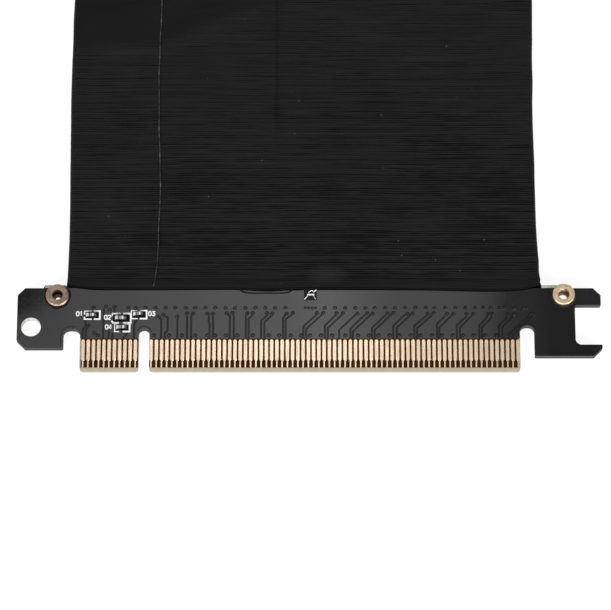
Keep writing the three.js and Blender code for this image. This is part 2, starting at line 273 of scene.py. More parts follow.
# painted light: a much paler copy of the cut edge, so the hole wall and the back edge read light
EDGE_PAINTED_LIGHT = make_cut_edge("laminate_edge_painted_light", (0.36, 0.315, 0.29), (0.62, 0.565, 0.53), 0.75)
BEVEL = make_cut_edge("laminate_bevel", (0.235, 0.195, 0.137), (0.36, 0.305, 0.225), 0.75)


def make_gold(name, tint=(0.93, 0.69, 0.49), rough=0.34, along=(1.0, 0.06, 1.0)):
    """Hard gold flash over brushed copper, with fine lengthwise scratches."""
    M = Mat(name)
    brushed = M.noise(6500.0, 3.0, 0.6, M.scaled(along))
    blot = M.noise(420.0, 3.0)
    dark = tuple(c * 0.84 for c in tint)
    M.set(color=M.ramp(M.math("ADD", M.math("MULTIPLY", brushed, 0.5), M.math("MULTIPLY", blot, 0.5)), [(0.32, dark), (0.62, tint)]),
          rough=M.map(brushed, 0.3, 0.7, rough - 0.07, rough + 0.09), metal=0.86)
    M.set(normal=M.bump(brushed, 0.3, 8e-6))
    return M.m


GOLD = make_gold("gold_plating", (1.0, 0.77, 0.565), 0.25)
CONTACT = make_gold("contact_gold", (0.90, 0.66, 0.36), 0.26)


def make_tin(name):
    M = Mat(name)
    n1, n2 = M.noise(1400.0, 4.0), M.noise(5200.0, 3.0)
    M.set(color=M.ramp(n1, [(0.3, (0.52, 0.52, 0.50)), (0.7, (0.78, 0.77, 0.74))]), metal=0.9,
          rough=M.map(n2, 0.3, 0.7, 0.2, 0.42))
    M.set(normal=M.bump(M.math("ADD", n1, M.math("MULTIPLY", n2, 0.4)), 0.5, 1.5e-5))
    return M.m


TIN = make_tin("tinned_solder")


def make_brass(name, centre, tint, dark, rough):
    """Turned brass: rings round the bore, thin tarnish in patches."""
    M = Mat(name)
    sep = M.new("ShaderNodeSeparateXYZ")
    M.link(M.obj(), sep.inputs[0])
    dx = M.math("SUBTRACT", sep.outputs[0], gx(centre[0]))
    dy = M.math("SUBTRACT", sep.outputs[1], gy(centre[1]))
    r = M.math("SQRT", M.math("ADD", M.math("MULTIPLY", dx, dx), M.math("MULTIPLY", dy, dy)))
    rings = M.math("SINE", M.math("MULTIPLY", r, 52000.0))
    lines = M.noise(9000.0, 2.0, vec=M.scaled((0.05, 0.05, 1.0)))
    blot = M.noise(700.0, 4.0, 0.6)
    col = M.ramp(blot, [(0.34, dark), (0.60, tint)])
    M.set(color=col, metal=0.92, rough=M.map(blot, 0.3, 0.7, rough + 0.12, rough - 0.04))
    h = M.math("ADD", M.math("MULTIPLY", rings, 0.3), M.math("ADD", M.math("MULTIPLY", lines, 0.6), M.math("MULTIPLY", blot, 0.6)))
    M.set(normal=M.bump(h, 0.35, 1.0e-5))
    return M.m


def make_shaded_brass(name, cx, light, dark):
    """Dark brass in painted shade, for the inside of a bore and the outer side wall; a little paler on the side the
    light reaches, as painted light.
    """
    M = Mat(name)
    n = M.noise(1500.0, 3.0, 0.6)
    side = M.map(M.axis(0), gx(cx - 0.7), gx(cx + 0.7), 0.2, -0.2)
    M.set(color=M.ramp(M.math("ADD", n, side), [(0.35, dark), (0.65, light)]), metal=0.3, rough=M.map(n, 0.3, 0.7, 0.5, 0.7), spec=0.15)
    M.set(normal=M.bump(n, 0.4, 2e-5))
    return M.m


def make_ink(name):
    M = Mat(name)
    n = M.noise(5200.0, 4.0, 0.65)
    M.set(color=M.ramp(n, [(0.28, (0.66, 0.66, 0.65)), (0.46, (0.95, 0.95, 0.94))]), rough=M.map(n, 0.3, 0.7, 0.45, 0.65), spec=0.3)
    M.set(normal=M.bump(n, 0.4, 1e-5))
    return M.m


INK = make_ink("white_print")


def make_ceramic(name):
    M = Mat(name)
    n = M.noise(3000.0, 4.0, 0.6)
    bands = M.wave(560.0, "X", 1.2, 3.0)
    f = M.math("ADD", M.math("MULTIPLY", bands, 0.6), M.math("MULTIPLY", n, 0.4))
    M.set(color=M.ramp(f, [(0.3, (0.10, 0.098, 0.095)), (0.7, (0.36, 0.355, 0.34))]), rough=M.map(n, 0.3, 0.7, 0.4, 0.6))
    M.set(normal=M.bump(n, 0.4, 1.2e-5))
    return M.m


CERAMIC = make_ceramic("chip_ceramic")


def make_chip_end(name, lo, hi):
    """Matt tin over the end of a chip, in a lit copy and a shaded copy: painted light and painted shade."""
    M = Mat(name)
    n = M.noise(3600.0, 3.0, 0.6)
    M.set(color=M.ramp(n, [(0.35, lo), (0.6, hi)]), metal=0.25, rough=M.map(n, 0.3, 0.7, 0.35, 0.6), spec=0.4)
    M.set(normal=M.bump(n, 0.4, 1.2e-5))
    return M.m


# painted light and shade: bright and dark copies of the same chip tin
CHIP_END_LIT = make_chip_end("chip_end_painted_light", (0.62, 0.61, 0.60), (0.98, 0.98, 0.97))
CHIP_END_SHADED = make_chip_end("chip_end_painted_shade", (0.05, 0.05, 0.049), (0.20, 0.20, 0.195))


def make_plastic(name, lo, hi, rough, scale, depth, spec=0.4):
    """Moulded plastic with a fine even grain."""
    M = Mat(name)
    n, s = M.noise(scale, 3.0), M.noise(60.0, 2.0)
    M.set(color=M.ramp(s, [(0.3, lo), (0.7, hi)]), rough=M.map(n, 0.3, 0.7, rough - 0.07, rough + 0.08), spec=spec)
    M.set(normal=M.bump(n, 0.4, depth))
    return M.m


HOUSING = make_plastic("housing_nylon", (0.0085, 0.0085, 0.009), (0.013, 0.013, 0.0135), 0.42, 3200.0, 1.4e-5)
# painted shade: a near-black finish for the chips' front faces
CHIP_FRONT_SHADE = make_plastic("chip_front_painted_shade", (0.0035, 0.0035, 0.0034), (0.0090, 0.0090, 0.0088), 0.6, 2600.0, 1.5e-5, 0.15)
PAD = make_plastic("pad_film", (0.012, 0.012, 0.0125), (0.017, 0.017, 0.018), 0.6, 1800.0, 2.5e-5)
STRIP = make_plastic("strip_insulation", (0.40, 0.41, 0.43), (0.50, 0.51, 0.53), 0.45, 900.0, 2e-5)
GLUE = make_plastic("glue_bead", (0.52, 0.49, 0.40), (0.62, 0.58, 0.49), 0.3, 700.0, 4e-5, 0.5)


def make_foil(name):
    M = Mat(name)
    v, n = M.voronoi(260.0), M.noise(900.0, 3.0)
    M.set(color=M.ramp(n, [(0.3, (0.66, 0.67, 0.68)), (0.7, (0.80, 0.81, 0.82))]), metal=0.95, rough=M.map(n, 0.3, 0.7, 0.22, 0.4))
    M.set(normal=M.bump(v, 0.4, 4e-5))
    return M.m


FOIL = make_foil("shield_foil")


RIB = 0.464                     # rib pitch of the jacket cloth


def make_cloth(name, lo, hi, lint):
    """Black acetate cloth: warp threads over the modelled ribs, faint mottling and lint, and painted shade in the
    furrows between ribs.
    """
    M = Mat(name)
    warp = M.math("ADD", M.math("MULTIPLY", M.math("SINE", M.math("MULTIPLY", M.axis(0), 26000.0)), 0.5), 0.5)
    patch = M.noise(46.0, 3.0, vec=M.scaled((1.0, 1.6, 1.0)))
    slub = M.noise(900.0, 3.0, 0.6, M.scaled((0.16, 1.0, 1.0)))
    fuzz = M.noise(7000.0, 3.0, 0.65)
    f = M.math("ADD", M.math("MULTIPLY", patch, 0.35), M.math("ADD", M.math("MULTIPLY", slub, 0.5), M.math("MULTIPLY", fuzz, 0.15)))
    col = M.ramp(f, [(0.34, lo), (0.66, hi)])
    # painted shade: the furrows between the ribs are painted darker, by an amount stored on the mesh
    painted_shading = M.new("ShaderNodeAttribute")
    painted_shading.attribute_name = "painted_shading"
    # ribs are broken into short runs: the painted shade of the furrows is stronger or weaker every few millimetres
    dash = M.noise(2300.0, 1.0, 0.5, M.scaled((0.14, 1.0, 1.0)))
    ribbed = M.new("ShaderNodeAttribute")
    ribbed.attribute_name = "ribbed"
    runs = M.math("ADD", M.math("MULTIPLY", M.map(dash, 0.30, 0.70, -0.45, 0.45), ribbed.outputs["Fac"]), 1.0)
    shade = M.math("SUBTRACT", PAINTED_SHADE_TOP, M.math("MULTIPLY", M.math("MULTIPLY", painted_shading.outputs["Fac"], runs), PAINTED_SHADE_GAIN))
    shade = M.math("MAXIMUM", shade, 0.05)
    grey = M.new("ShaderNodeCombineColor")
    for k in range(3):
        M.link(shade, grey.inputs[k])
    col = M.mix(1.0, col, grey.outputs[0], "MULTIPLY")
    # lint: rare small paler specks
    specks = M.voronoi(420.0)
    spot = M.math("MULTIPLY", M.math("LESS_THAN", specks, 0.05), M.math("GREATER_THAN", M.noise(300.0, 1.0), 0.60))
    col = M.mix(M.math("MULTIPLY", spot, lint), col, (0.085, 0.085, 0.088))
    # a faint smear of flux beside the soldered tab
    dx = M.math("DIVIDE", M.math("SUBTRACT", M.axis(0), gx(4.2)), 0.0040)
    dy = M.math("DIVIDE", M.math("SUBTRACT", M.axis(1), gy(6.0)), 0.0019)
    d2 = M.math("ADD", M.math("MULTIPLY", dx, dx), M.math("MULTIPLY", dy, dy))
    smear = M.math("MULTIPLY", M.map(d2, 0.1, 1.2, 1.0, 0.0), 0.35, clamp=True)
    smear = M.math("MULTIPLY", smear, M.math("GREATER_THAN", M.axis(2), 0.002))
    col = M.mix(smear, col, (0.034, 0.034, 0.034))
    M.set(color=col, rough=M.map(slub, 0.3, 0.7, 0.66, 0.84), spec=0.12, sheen=0.02, sheen_rough=0.5)
    h = M.math("ADD", M.math("MULTIPLY", warp, 0.35), M.math("ADD", M.math("MULTIPLY", fuzz, 0.35), M.math("MULTIPLY", slub, 0.8)))
    M.set(normal=M.bump(h, 0.45, 2.2e-5))
    return M.m


# painted shade of the cloth: the brightness where no shade is painted, and how much the stored shade takes away
PAINTED_SHADE_TOP, PAINTED_SHADE_GAIN = 1.80, 1.75
CLOTH = make_cloth("jacket_cloth", (0.0052, 0.0052, 0.0053), (0.0090, 0.0090, 0.0092), 1.0)
# painted shade: a near-black copy of the cloth for its cut ends and the inside of the tube
CLOTH_END_SHADE = make_plastic("jacket_cut_end_painted_shade", (0.0012, 0.0012, 0.0012), (0.003, 0.003, 0.003), 0.8, 2600.0, 3e-5, 0.1)


def make_thread(name):
    """Cut, heat-sealed edge of the lapped cloth: pale where the fibres catch the light."""
    M = Mat(name)
    dash = M.noise(620.0, 3.0, 0.7, M.scaled((0.1, 1.0, 0.1)))
    fine = M.noise(3800.0, 2.0)
    f = M.math("ADD", M.math("MULTIPLY", dash, 0.75), M.math("MULTIPLY", fine, 0.25))
    f = M.math("SUBTRACT", f, M.map(M.axis(1), gy(6.0), gy(11.0), 0.11, 0.0))      # less of the painted highlight near the mouth
    M.set(color=M.ramp(f, [(0.38, (0.016, 0.016, 0.016)), (0.50, (0.042, 0.042, 0.041)), (0.64, (0.12, 0.12, 0.117))]), rough=0.6, spec=0.3)
    M.set(rough=M.map(fine, 0.3, 0.7, 0.5, 0.7))
    M.set(normal=M.bump(fine, 0.5, 2e-5))
    return M.m


THREAD = make_thread("seam_edge")


# ------------------------------------------------------------ mesh tools
class Bag:
    """Collects closed bits of mesh, in working millimetres, into one piece."""

    def __init__(self):
        self.v, self.f, self.mi, self.sm = [], [], [], []

    def add(self, verts, faces, mat=0, smooth=False):
        o = len(self.v)
        self.v.extend(verts)
        for f in faces:
            self.f.append([o + i for i in f])
            self.mi.append(mat)
            self.sm.append(smooth)

    def prism(self, pts, z0, z1, bevel=0.0, mat=0, flip=False):
        """Upright prism over the outline pts (anticlockwise), its upper edge bevelled; flip builds it downwards from z0."""
        n = len(pts)
        s = -1.0 if flip else 1.0
        rings = [([p for p in pts], z0)]
        if bevel > 0:
            c = inset(pts, bevel)
            rings += [(pts, z1 - s * bevel), (c, z1)]
        else:
            rings += [(pts, z1)]
        verts = [(p[0], p[1], z) for ps, z in rings for p in ps]
        faces = []
        for k in range(len(rings) - 1):
            for i in range(n):
                j = (i + 1) % n
                faces.append([k * n + i, k * n + j, (k + 1) * n + j, (k + 1) * n + i])
        faces.append([(len(rings) - 1) * n + i for i in range(n)])
        faces.append([i for i in reversed(range(n))])
        if flip:
            faces = [list(reversed(f)) for f in faces]
        self.add(verts, faces, mat)

    def lathe(self, cx, cy, profile, seg, mat=0, smooth=True, closed=True):
        """profile: (r, z) points from the outside base round to the axis or back; a closed ring if closed."""
        verts, faces = [], []
        ring = []
        for r, z in profile:
            if r < 1e-6:
                ring.append([len(verts)])
                verts.append((cx, cy, z))
            else:
                ring.append(list(range(len(verts), len(verts) + seg)))
                for k in range(seg):
                    a = 2 * math.pi * k / seg
                    verts.append((cx + r * math.cos(a), cy + r * math.sin(a), z))
        pairs = list(zip(ring, ring[1:] + ([ring[0]] if closed else [])))
        for a, b in pairs:
            if len(a) == 1 and len(b) == 1:
                continue
            for k in range(seg):
                m = (k + 1) % seg
                if len(a) == 1:
                    faces.append([a[0], b[m], b[k]])
                elif len(b) == 1:
                    faces.append([a[k], a[m], b[0]])
                else:
                    faces.append([a[k], a[m], b[m], b[k]])
        self.add(verts, faces, mat, smooth)

    def ridge(self, path, base, top, z0, z1, mat=0, ends=0.0):
        """A raised line with sloping sides along a flat path, closed underneath."""
        pts = [Vector((p[0], p[1])) for p in path]
        n = len(pts)
        left, right = [], []
        for i in range(n):
            if i == 0:
                d = (pts[1] - pts[0]).normalized(); m = 1.0
            elif i == n - 1:
                d = (pts[-1] - pts[-2]).normalized(); m = 1.0
            else:
                a, b = (pts[i] - pts[i - 1]).normalized(), (pts[i + 1] - pts[i]).normalized()
                d = (a + b).normalized()
                m = 1.0 / max(0.5, math.sqrt(max(0.05, (1 + a.dot(b)) / 2)))
            nrm = Vector((-d.y, d.x)) * m
            left.append((nrm, d)); right.append(d)
        verts = []
        for i in range(n):
            nrm = left[i][0]
            p = pts[i]
            for w, z in ((base / 2, z0), (top / 2, z1), (-top / 2, z1), (-base / 2, z0)):
                verts.append((p.x + nrm.x * w, p.y + nrm.y * w, z))
        faces = []
        for i in range(n - 1):
            a, b = i * 4, (i + 1) * 4
            for k in range(4):
                j = (k + 1) % 4
                faces.append([a + k, a + j, b + j, b + k])
        faces.append([0, 3, 2, 1])
        e = (n - 1) * 4
        faces.append([e, e + 1, e + 2, e + 3])
        if z1 < z0:
            faces = [list(reversed(f)) for f in faces]
        self.add(verts, faces, mat)

    def piece(self, name, mats, replaces=()):
        me = bpy.data.meshes.new(name)
        v = np.array(self.v, float).reshape(-1, 3)
        v[:, 0] += OX
        v[:, 1] += OY
        me.from_pydata((v / 1000).tolist(), [], self.f)
        me.polygons.foreach_set("material_index", self.mi)
        me.polygons.foreach_set("use_smooth", self.sm)
        for m in mats:
            me.materials.append(m)
        me.validate()
        me.update()
        return put(name, me, replaces)


def put(name, me, replaces=()):
    o = bpy.data.objects.new(name, me)
    bpy.context.scene.collection.objects.link(o)
    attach(o, "root")
    if replaces:
        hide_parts(*replaces)
    return o


def inset(pts, d):
    """The outline moved inwards by d (anticlockwise points)."""
    out, n = [], len(pts)
    for i in range(n):
        p = Vector(pts[i][:2])
        a = (p - Vector(pts[i - 1][:2])).normalized()
        b = (Vector(pts[(i + 1) % n][:2]) - p).normalized()
        na, nb = Vector((-a.y, a.x)), Vector((-b.y, b.x))
        m = na + nb
        if m.length < 1e-6:
            m = na
        m = m.normalized()
        k = d / max(0.35, m.dot(na))
        out.append((p.x + m.x * k, p.y + m.y * k))
    return out


def rounded(x0, y0, x1, y1, r, seg=4):
    pts = []
    for cx, cy, a0 in ((x1 - r, y0 + r, -90), (x1 - r, y1 - r, 0), (x0 + r, y1 - r, 90), (x0 + r, y0 + r, 180)):
        for k in range(seg + 1):
            a = math.radians(a0 + 90 * k / seg)
            pts.append((cx + r * math.cos(a), cy + r * math.sin(a)))
    return pts


def circle(cx, cy, r, seg):
    return [(cx + r * math.cos(2 * math.pi * k / seg), cy + r * math.sin(2 * math.pi * k / seg)) for k in range(seg)]


def dress(name, mat, slot=None):
    """Gives a CAD node its finish."""
    o = NODES[name]
    o.data.materials.clear()
    o.data.materials.append(mat)
    return o


# ------------------------------------------------------------ edge board
board = NODES["male_board"]
board.data.materials.clear()
for m in (MASK, EDGE_DARK, BEVEL, EDGE_PAINTED_LIGHT, EDGE_PAINTED_SHADE):
    board.data.materials.append(m)
for p in board.data.polygons:
    n, c = p.normal, p.center
    y = c.y * 1000 - OY
    x = c.x * 1000 - OX
    if abs(n.z) > 0.95:
        p.material_index = 0
    elif y < -5.9 and -43.4 < x < 41.3:
        p.material_index = 2
    # the wall of the round hole and the back edge take the paler copy: painted light
    elif math.hypot(x + 52.5, y + 4.49) < 2.1 or (y > 3.6 and n.y > 0.3):
        p.material_index = 3
    # the front edge of the left ear takes the darker copy: painted shade
    elif x < -44.0 and n.y < -0.3:
        p.material_index = 4
    else:
        p.material_index = 1

# contact pads of the edge, both faces
PITCH = 1.0
PIN_X = [-42.45 + i * PITCH for i in range(11)] + [-29.45 + i * PITCH for i in range(71)]
PAD_TOP, PAD_SHOULDER, PAD_END = -7.03, -11.19, -12.72
PAD_W, NECK_W = 0.67, 0.28
PAD_H = 0.035


def pad_outline(x, w=PAD_W, top=PAD_TOP):
    h, n = w / 2, NECK_W / 2
    pts = [(x - n, PAD_END), (x + n, PAD_END), (x + n, PAD_SHOULDER - 0.12), (x + h - 0.06, PAD_SHOULDER), (x + h, PAD_SHOULDER + 0.08)]
    r = h - 0.02
    for k in range(7):
        a = math.pi * k / 6
        pts.append((x + r * math.cos(a) + (0.02 if k < 3 else -0.02 if k > 3 else 0.0), top - r + r * math.sin(a)))
    pts += [(x - h, PAD_SHOULDER + 0.08), (x - h + 0.06, PAD_SHOULDER), (x - n, PAD_SHOULDER - 0.12)]
    return pts


pads = Bag()
for i, x in enumerate(PIN_X):
    w = PAD_W
    pads.prism(pad_outline(x, w), BT - 0.004, BT + PAD_H, 0.02)
    pads.prism(pad_outline(x, w), BB + 0.004, BB - PAD_H, 0.02, flip=True)
pads.piece("edge_contacts", [GOLD])

# where the mask stops: brown laminate between the contacts, paler strips at the tongue's sides and lugs
bed = Bag()
for z0, z1, fl in ((BT - 0.004, BT + 0.010, False), (BB + 0.004, BB - 0.010, True)):
    for x0, x1, mx0, mx1 in ((-42.84, -31.93, -43.07, -42.84), (-29.72, 40.72, 40.72, 40.96)):
        n = int(round((x1 - x0) * 3))
        wob = [-6.86 + 0.035 * math.sin(k * 2.399) for k in range(n + 1)]
        pts = [(x0, -12.73), (x1, -12.73)] + [(x1 + (x0 - x1) * k / n, wob[k]) for k in range(n + 1)]
        bed.prism(pts, z0, z1, flip=fl)
        bed.prism([(mx0, -12.73), (mx1, -12.73), (mx1, -6.80), (mx0, -6.80)], z0, z1, mat=1, flip=fl)
bed.piece("contact_bed", [BARE_BROWN, BARE_LIGHT])
lugs = Bag()
for x0, x1 in ((-49.95, -46.0), (45.3, 50.8)):
    pts = [(x0, 3.50), (x1, 3.50), (x1, 4.03)] + [(x1 + (x0 - x1) * k / 9, 4.03 - 0.05 * (k % 2)) for k in range(1, 9)] + [(x0, 4.03)]
    lugs.prism(pts, BT - 0.004, BT + 0.012)
lugs.piece("lug_laminate", [BARE_LUG])

# plated holes and printed conductors under the mask, in millimetres
UPPER_Y = -0.61
UPPER_VIAS = [-33.95, -32.49, -30.65, -28.73, -26.78, -24.96, -22.93, -21.11, -19.16, -17.26, -15.31, -13.47, -11.51,
              -9.56, -7.72, -5.8, -3.85, -0.06, 0.59, 1.26, 1.92, 3.68, 5.65, 7.62, 9.54, 11.44, 13.24, 15.27, 17.16,
              19.06, 21.0, 23.03, 24.67, 26.7, 28.68, 30.61, 32.49, 34.0, 35.44, 37.07, 38.03, 40.08, 41.74, 42.37]
SECOND_VIAS = [(-28.17, -2.45), (-27.2, -2.04), (-24.52, -2.37), (-22.65, -1.76), (-21.52, -1.72), (-18.78, -1.82),
               (-17.73, -1.82), (-15.05, -1.72), (-13.96, -1.64), (-11.16, -1.72), (-10.11, -1.66), (-7.35, -1.68),
               (-6.34, -1.72), (-3.64, -1.8), (-2.43, -1.64), (2.2, -1.64), (3.41, -1.64), (5.97, -1.68),
               (7.18, -1.68), (9.94, -1.76), (11.81, -1.68), (12.85, -1.76), (15.7, -1.76), (16.81, -1.61),
               (19.49, -1.82), (20.49, -1.76), (23.4, -1.82), (24.55, -1.68), (27.07, -1.8), (28.3, -1.84),
               (30.82, -1.84), (32.09, -1.84), (34.94, -1.8), (35.67, -1.8), (38.69, -1.94), (39.84, -1.94),
               (43.07, -1.9), (43.71, -1.9)]
LOWER_Y = -6.22
LOWER_VIAS = [-28.98, -26.06, -23.61, -21.05, -18.74, -17.29, -15.21, -13.03, -10.09, -7.05, -4.99, -2.79, -0.86, 0.86,
              2.96, 5.08, 7.6, 10.03, 12.11, 13.96, 16.05, 17.86, 20.12, 21.97, 24.13, 26.04, 28.12, 30.09, 32.11,
              34.29, 36.39]
LOOSE_VIAS = [(-38.22, -0.31), (-37.5, -1.02), (-40.59, -0.51), (-41.5, -4.19), (-40.39, -5.71),
              (-39.64, -6.22), (-36.57, -0.41)]
END_Y = -6.80
TRACES = [
    [(-28.17, -2.45), (-27.6, -2.86), (-27.6, END_Y)],
    [(-27.2, -2.04), (-26.38, -2.55), (-26.38, -5.2), (-26.86, -5.71), (-26.86, END_Y)],
    [(-24.5, -2.37), (-24.5, END_Y)],
    [(-22.65, -1.76), (-22.65, END_Y)],
    [(-21.52, -1.72), (-21.85, -2.25), (-21.85, END_Y)],
    [(-18.78, -1.82), (-18.52, -2.25), (-18.52, -3.47), (-18.35, -3.78), (-18.35, END_Y)],
    [(-17.7, -1.82), (-17.7, END_Y)],
    [(-15.05, -1.72), (-14.48, -2.25), (-14.48, END_Y)],
    [(-13.96, -1.64), (-13.72, -2.25), (-13.72, END_Y)],
    [(-11.16, -1.72), (-11.42, -2.25), (-11.42, END_Y)],
    [(-10.11, -1.66), (-10.11, -2.04), (-10.88, -2.78), (-10.88, END_Y)],
    [(-7.35, -1.68), (-7.35, -2.15), (-8.48, -3.17), (-8.48, END_Y)],
    [(-6.34, -1.72), (-6.34, -2.04), (-7.84, -3.47), (-7.84, END_Y)],
    [(-3.64, -1.8), (-4.29, -2.66), (-4.29, END_Y)],
    [(-2.43, -1.64), (-2.58, -1.94), (-3.8, -2.9), (-3.8, END_Y)],
    [(2.2, -1.64), (1.91, -2.15), (-0.4, -4.35), (-0.4, END_Y)],
    [(3.41, -1.64), (3.02, -2.08), (0.13, -4.86), (0.13, END_Y)],
    [(5.97, -1.68), (5.69, -2.13), (3.69, -4.21), (3.69, END_Y)],
    [(7.18, -1.68), (6.91, -2.04), (4.26, -4.69), (4.26, END_Y)],
    [(9.94, -1.76), (9.48, -2.08), (6.52, -5.02), (6.44, -5.3), (6.44, END_Y)],
    [(11.81, -1.68), (11.31, -2.04), (8.58, -4.82), (8.58, END_Y)],
    [(12.85, -1.76), (12.35, -2.1), (9.04, -5.43), (9.04, END_Y)],
    [(15.7, -1.76), (15.26, -2.1), (12.71, -4.65), (12.71, END_Y)],
    [(16.81, -1.61), (16.1, -2.25), (13.21, -5.14), (13.21, END_Y)],
    [(19.49, -1.82), (18.89, -2.1), (16.76, -4.29), (16.76, END_Y)],
    [(20.49, -1.76), (19.69, -2.45), (17.44, -4.61), (17.44, END_Y)],
    [(23.4, -1.82), (23.06, -2.25), (20.81, -4.25), (20.81, END_Y)],
    [(24.55, -1.68), (23.83, -2.45), (21.34, -4.73), (21.34, END_Y)],
    [(27.07, -1.8), (26.7, -2.25), (25.13, -3.84), (25.13, END_Y)],
    [(28.3, -1.84), (27.73, -2.37), (25.58, -4.65), (25.58, END_Y)],
    [(30.82, -1.84), (30.72, -2.41), (28.91, -4.21), (28.91, END_Y)],
    [(32.09, -1.84), (31.64, -2.37), (29.52, -4.65), (29.52, END_Y)],
    [(34.94, -1.8), (34.62, -2.57), (33.23, -4.21), (33.23, END_Y)],
    [(35.67, -1.8), (35.58, -2.57), (33.72, -4.57), (33.72, END_Y)],
    [(38.69, -1.94), (38.45, -2.66), (36.94, -4.25), (36.94, END_Y)],
    [(39.84, -1.94), (39.4, -2.66), (37.62, -4.49), (37.62, END_Y)],
    [(43.07, -1.9), (42.47, -2.45), (38.8, -6.0), (38.8, END_Y)],
    [(43.71, -1.9), (43.16, -2.53), (39.56, -6.08), (39.56, END_Y)],
    [(-38.65, -0.72), (-38.65, END_Y)],
    [(-42.1, -3.14), (-42.1, -4.45), (-42.6, -5.02), (-42.6, END_Y)],
    [(-41.5, -4.19), (-42.0, -5.2), (-42.0, END_Y)],
    [(-37.62, -5.1), (-37.62, END_Y)],
    [(-36.89, -5.6), (-36.89, END_Y)],
    [(-36.57, -0.41), (-36.57, -1.56)],
    [(-32.2, -3.0), (-32.72, -3.8), (-32.72, END_Y)],
    [(-33.92, -5.65), (-34.74, -6.53), (-34.74, END_Y)],
    [(-40.59, -0.51), (-41.0, -0.95)],
]
VIA = [(0.43, -0.004), (0.31, 0.054), (0.21, 0.020), (0.16, 0.012), (0.08, 0.010), (0.0, 0.010)]


def via(bag, x, y, z0, s, seg=14, k=1.0):
    """A tented plated hole: a low rim with a dimple."""
    prof = [(r * k, z0 + s * h) for r, h in VIA] + [(0.0, z0 - s * 0.02)]
    verts, faces = [], []
    rows = []
    for r, z in prof:
        if r < 1e-6:
            rows.append([len(verts)]); verts.append((x, y, z))
        else:
            rows.append(list(range(len(verts), len(verts) + seg)))
            verts += [(x + r * math.cos(2 * math.pi * q / seg), y + r * math.sin(2 * math.pi * q / seg), z) for q in range(seg)]
    for a, b in zip(rows[:5], rows[1:6]):
        for q in range(seg):
            w = (q + 1) % seg
            faces.append([a[q], a[w], b[0]] if len(b) == 1 else [a[q], a[w], b[w], b[q]])
    for q in range(seg):
        faces.append([rows[0][(q + 1) % seg], rows[0][q], rows[6][0]])
    if s < 0:
        faces = [list(reversed(f)) for f in faces]
    bag.add(verts, faces, 0, True)


rng = random.Random(11)
relief = Bag()
for z0, s in ((BT, 1.0), (BB, -1.0)):
    for x in UPPER_VIAS:
        via(relief, x, UPPER_Y + rng.uniform(-0.03, 0.03), z0, s, k=0.72 if -0.2 < x < 2.0 else 1.0)
    for x, y in SECOND_VIAS + LOOSE_VIAS:
        via(relief, x, y, z0, s)
    for x in LOWER_VIAS:
        via(relief, x, LOWER_Y, z0, s, k=1.05)
for t in TRACES:
    relief.ridge(t, 0.38, 0.05, BT - 0.003, BT + 0.050)
# routed rim round the three cut-outs of the edge
relief.ridge([(-46.75, -7.9)] + [(-45.1 - 1.62 * math.cos(math.radians(a)), -6.05 + 1.62 * math.sin(math.radians(a))) for a in (0, 18, 36, 54, 72, 90)]
             + [(-44.0, -4.47)], 0.2, 0.04, BT - 0.003, BT + 0.035)
relief.ridge([(-30.85 - 1.4 * math.cos(math.radians(a)), -5.75 + 1.4 * math.sin(math.radians(a))) for a in range(20, 171, 15)],
             0.2, 0.04, BT - 0.003, BT + 0.035)
relief.ridge([(42.37 + 1.85 * math.cos(math.radians(a)), -5.4 + 1.62 * math.sin(math.radians(a))) for a in range(15, 171, 15)],
             0.2, 0.04, BT - 0.003, BT + 0.035)
# underside: straight runs from the lower holes to the contacts, and short stubs above
for x in LOWER_VIAS:
    relief.ridge([(x, LOWER_Y), (x, END_Y)], 0.27, 0.07, BB + 0.003, BB - 0.036)
for (xa, ya), (xb, yb) in zip(SECOND_VIAS[::2], SECOND_VIAS[1::2]):
    relief.ridge([(xa, ya), (xa, 2.6)], 0.27, 0.07, BB + 0.003, BB - 0.036)
    relief.ridge([(xb, yb), (xb, 2.6)], 0.27, 0.07, BB + 0.003, BB - 0.036)
relief.piece("conductor_relief", [MASK])

# printed outlines and plain numbers beside the chip capacitors
ink = Bag()
INK_W, INK_Z0, INK_Z1 = 0.28, BT - 0.002, BT + 0.022


strokes = 0


def stroke(path, w=INK_W):
    """One printed line; each is a hair thicker than the last, so crossings have a clear top."""
    global strokes
    strokes += 1
    ink.ridge(path, w, w * 0.9, INK_Z0, INK_Z1 + 0.0006 * (strokes % 24))


stroke([(-40.93, -1.25), (-42.28, -1.29), (-42.30, -1.95)])
stroke([(-42.30, -2.45), (-42.30, -2.88), (-40.93, -2.88)])
stroke([(-40.55, -1.25), (-39.36, -1.25), (-39.36, -2.86), (-40.50, -2.86)], 0.32)
stroke([(-35.36, -1.74), (-36.92, -1.76), (-37.05, -2.25)])
stroke([(-37.10, -3.20), (-36.85, -3.62), (-35.70, -3.62)])
stroke([(-34.92, -1.74), (-33.45, -1.74), (-33.42, -3.62), (-34.95, -3.62)], 0.31)
stroke([(-32.10, -1.17), (-33.33, -1.17), (-33.33, -2.78), (-32.12, -2.78)], 0.22)
stroke([(-31.68, -1.16), (-30.42, -1.14), (-30.40, -2.78), (-31.72, -2.78)], 0.32)
stroke([(-35.72, -3.78), (-36.47, -3.80), (-36.50, -5.41), (-35.60, -5.41)], 0.22)
stroke([(-34.85, -3.82), (-33.63, -3.84), (-33.62, -5.41), (-34.95, -5.41)], 0.33)
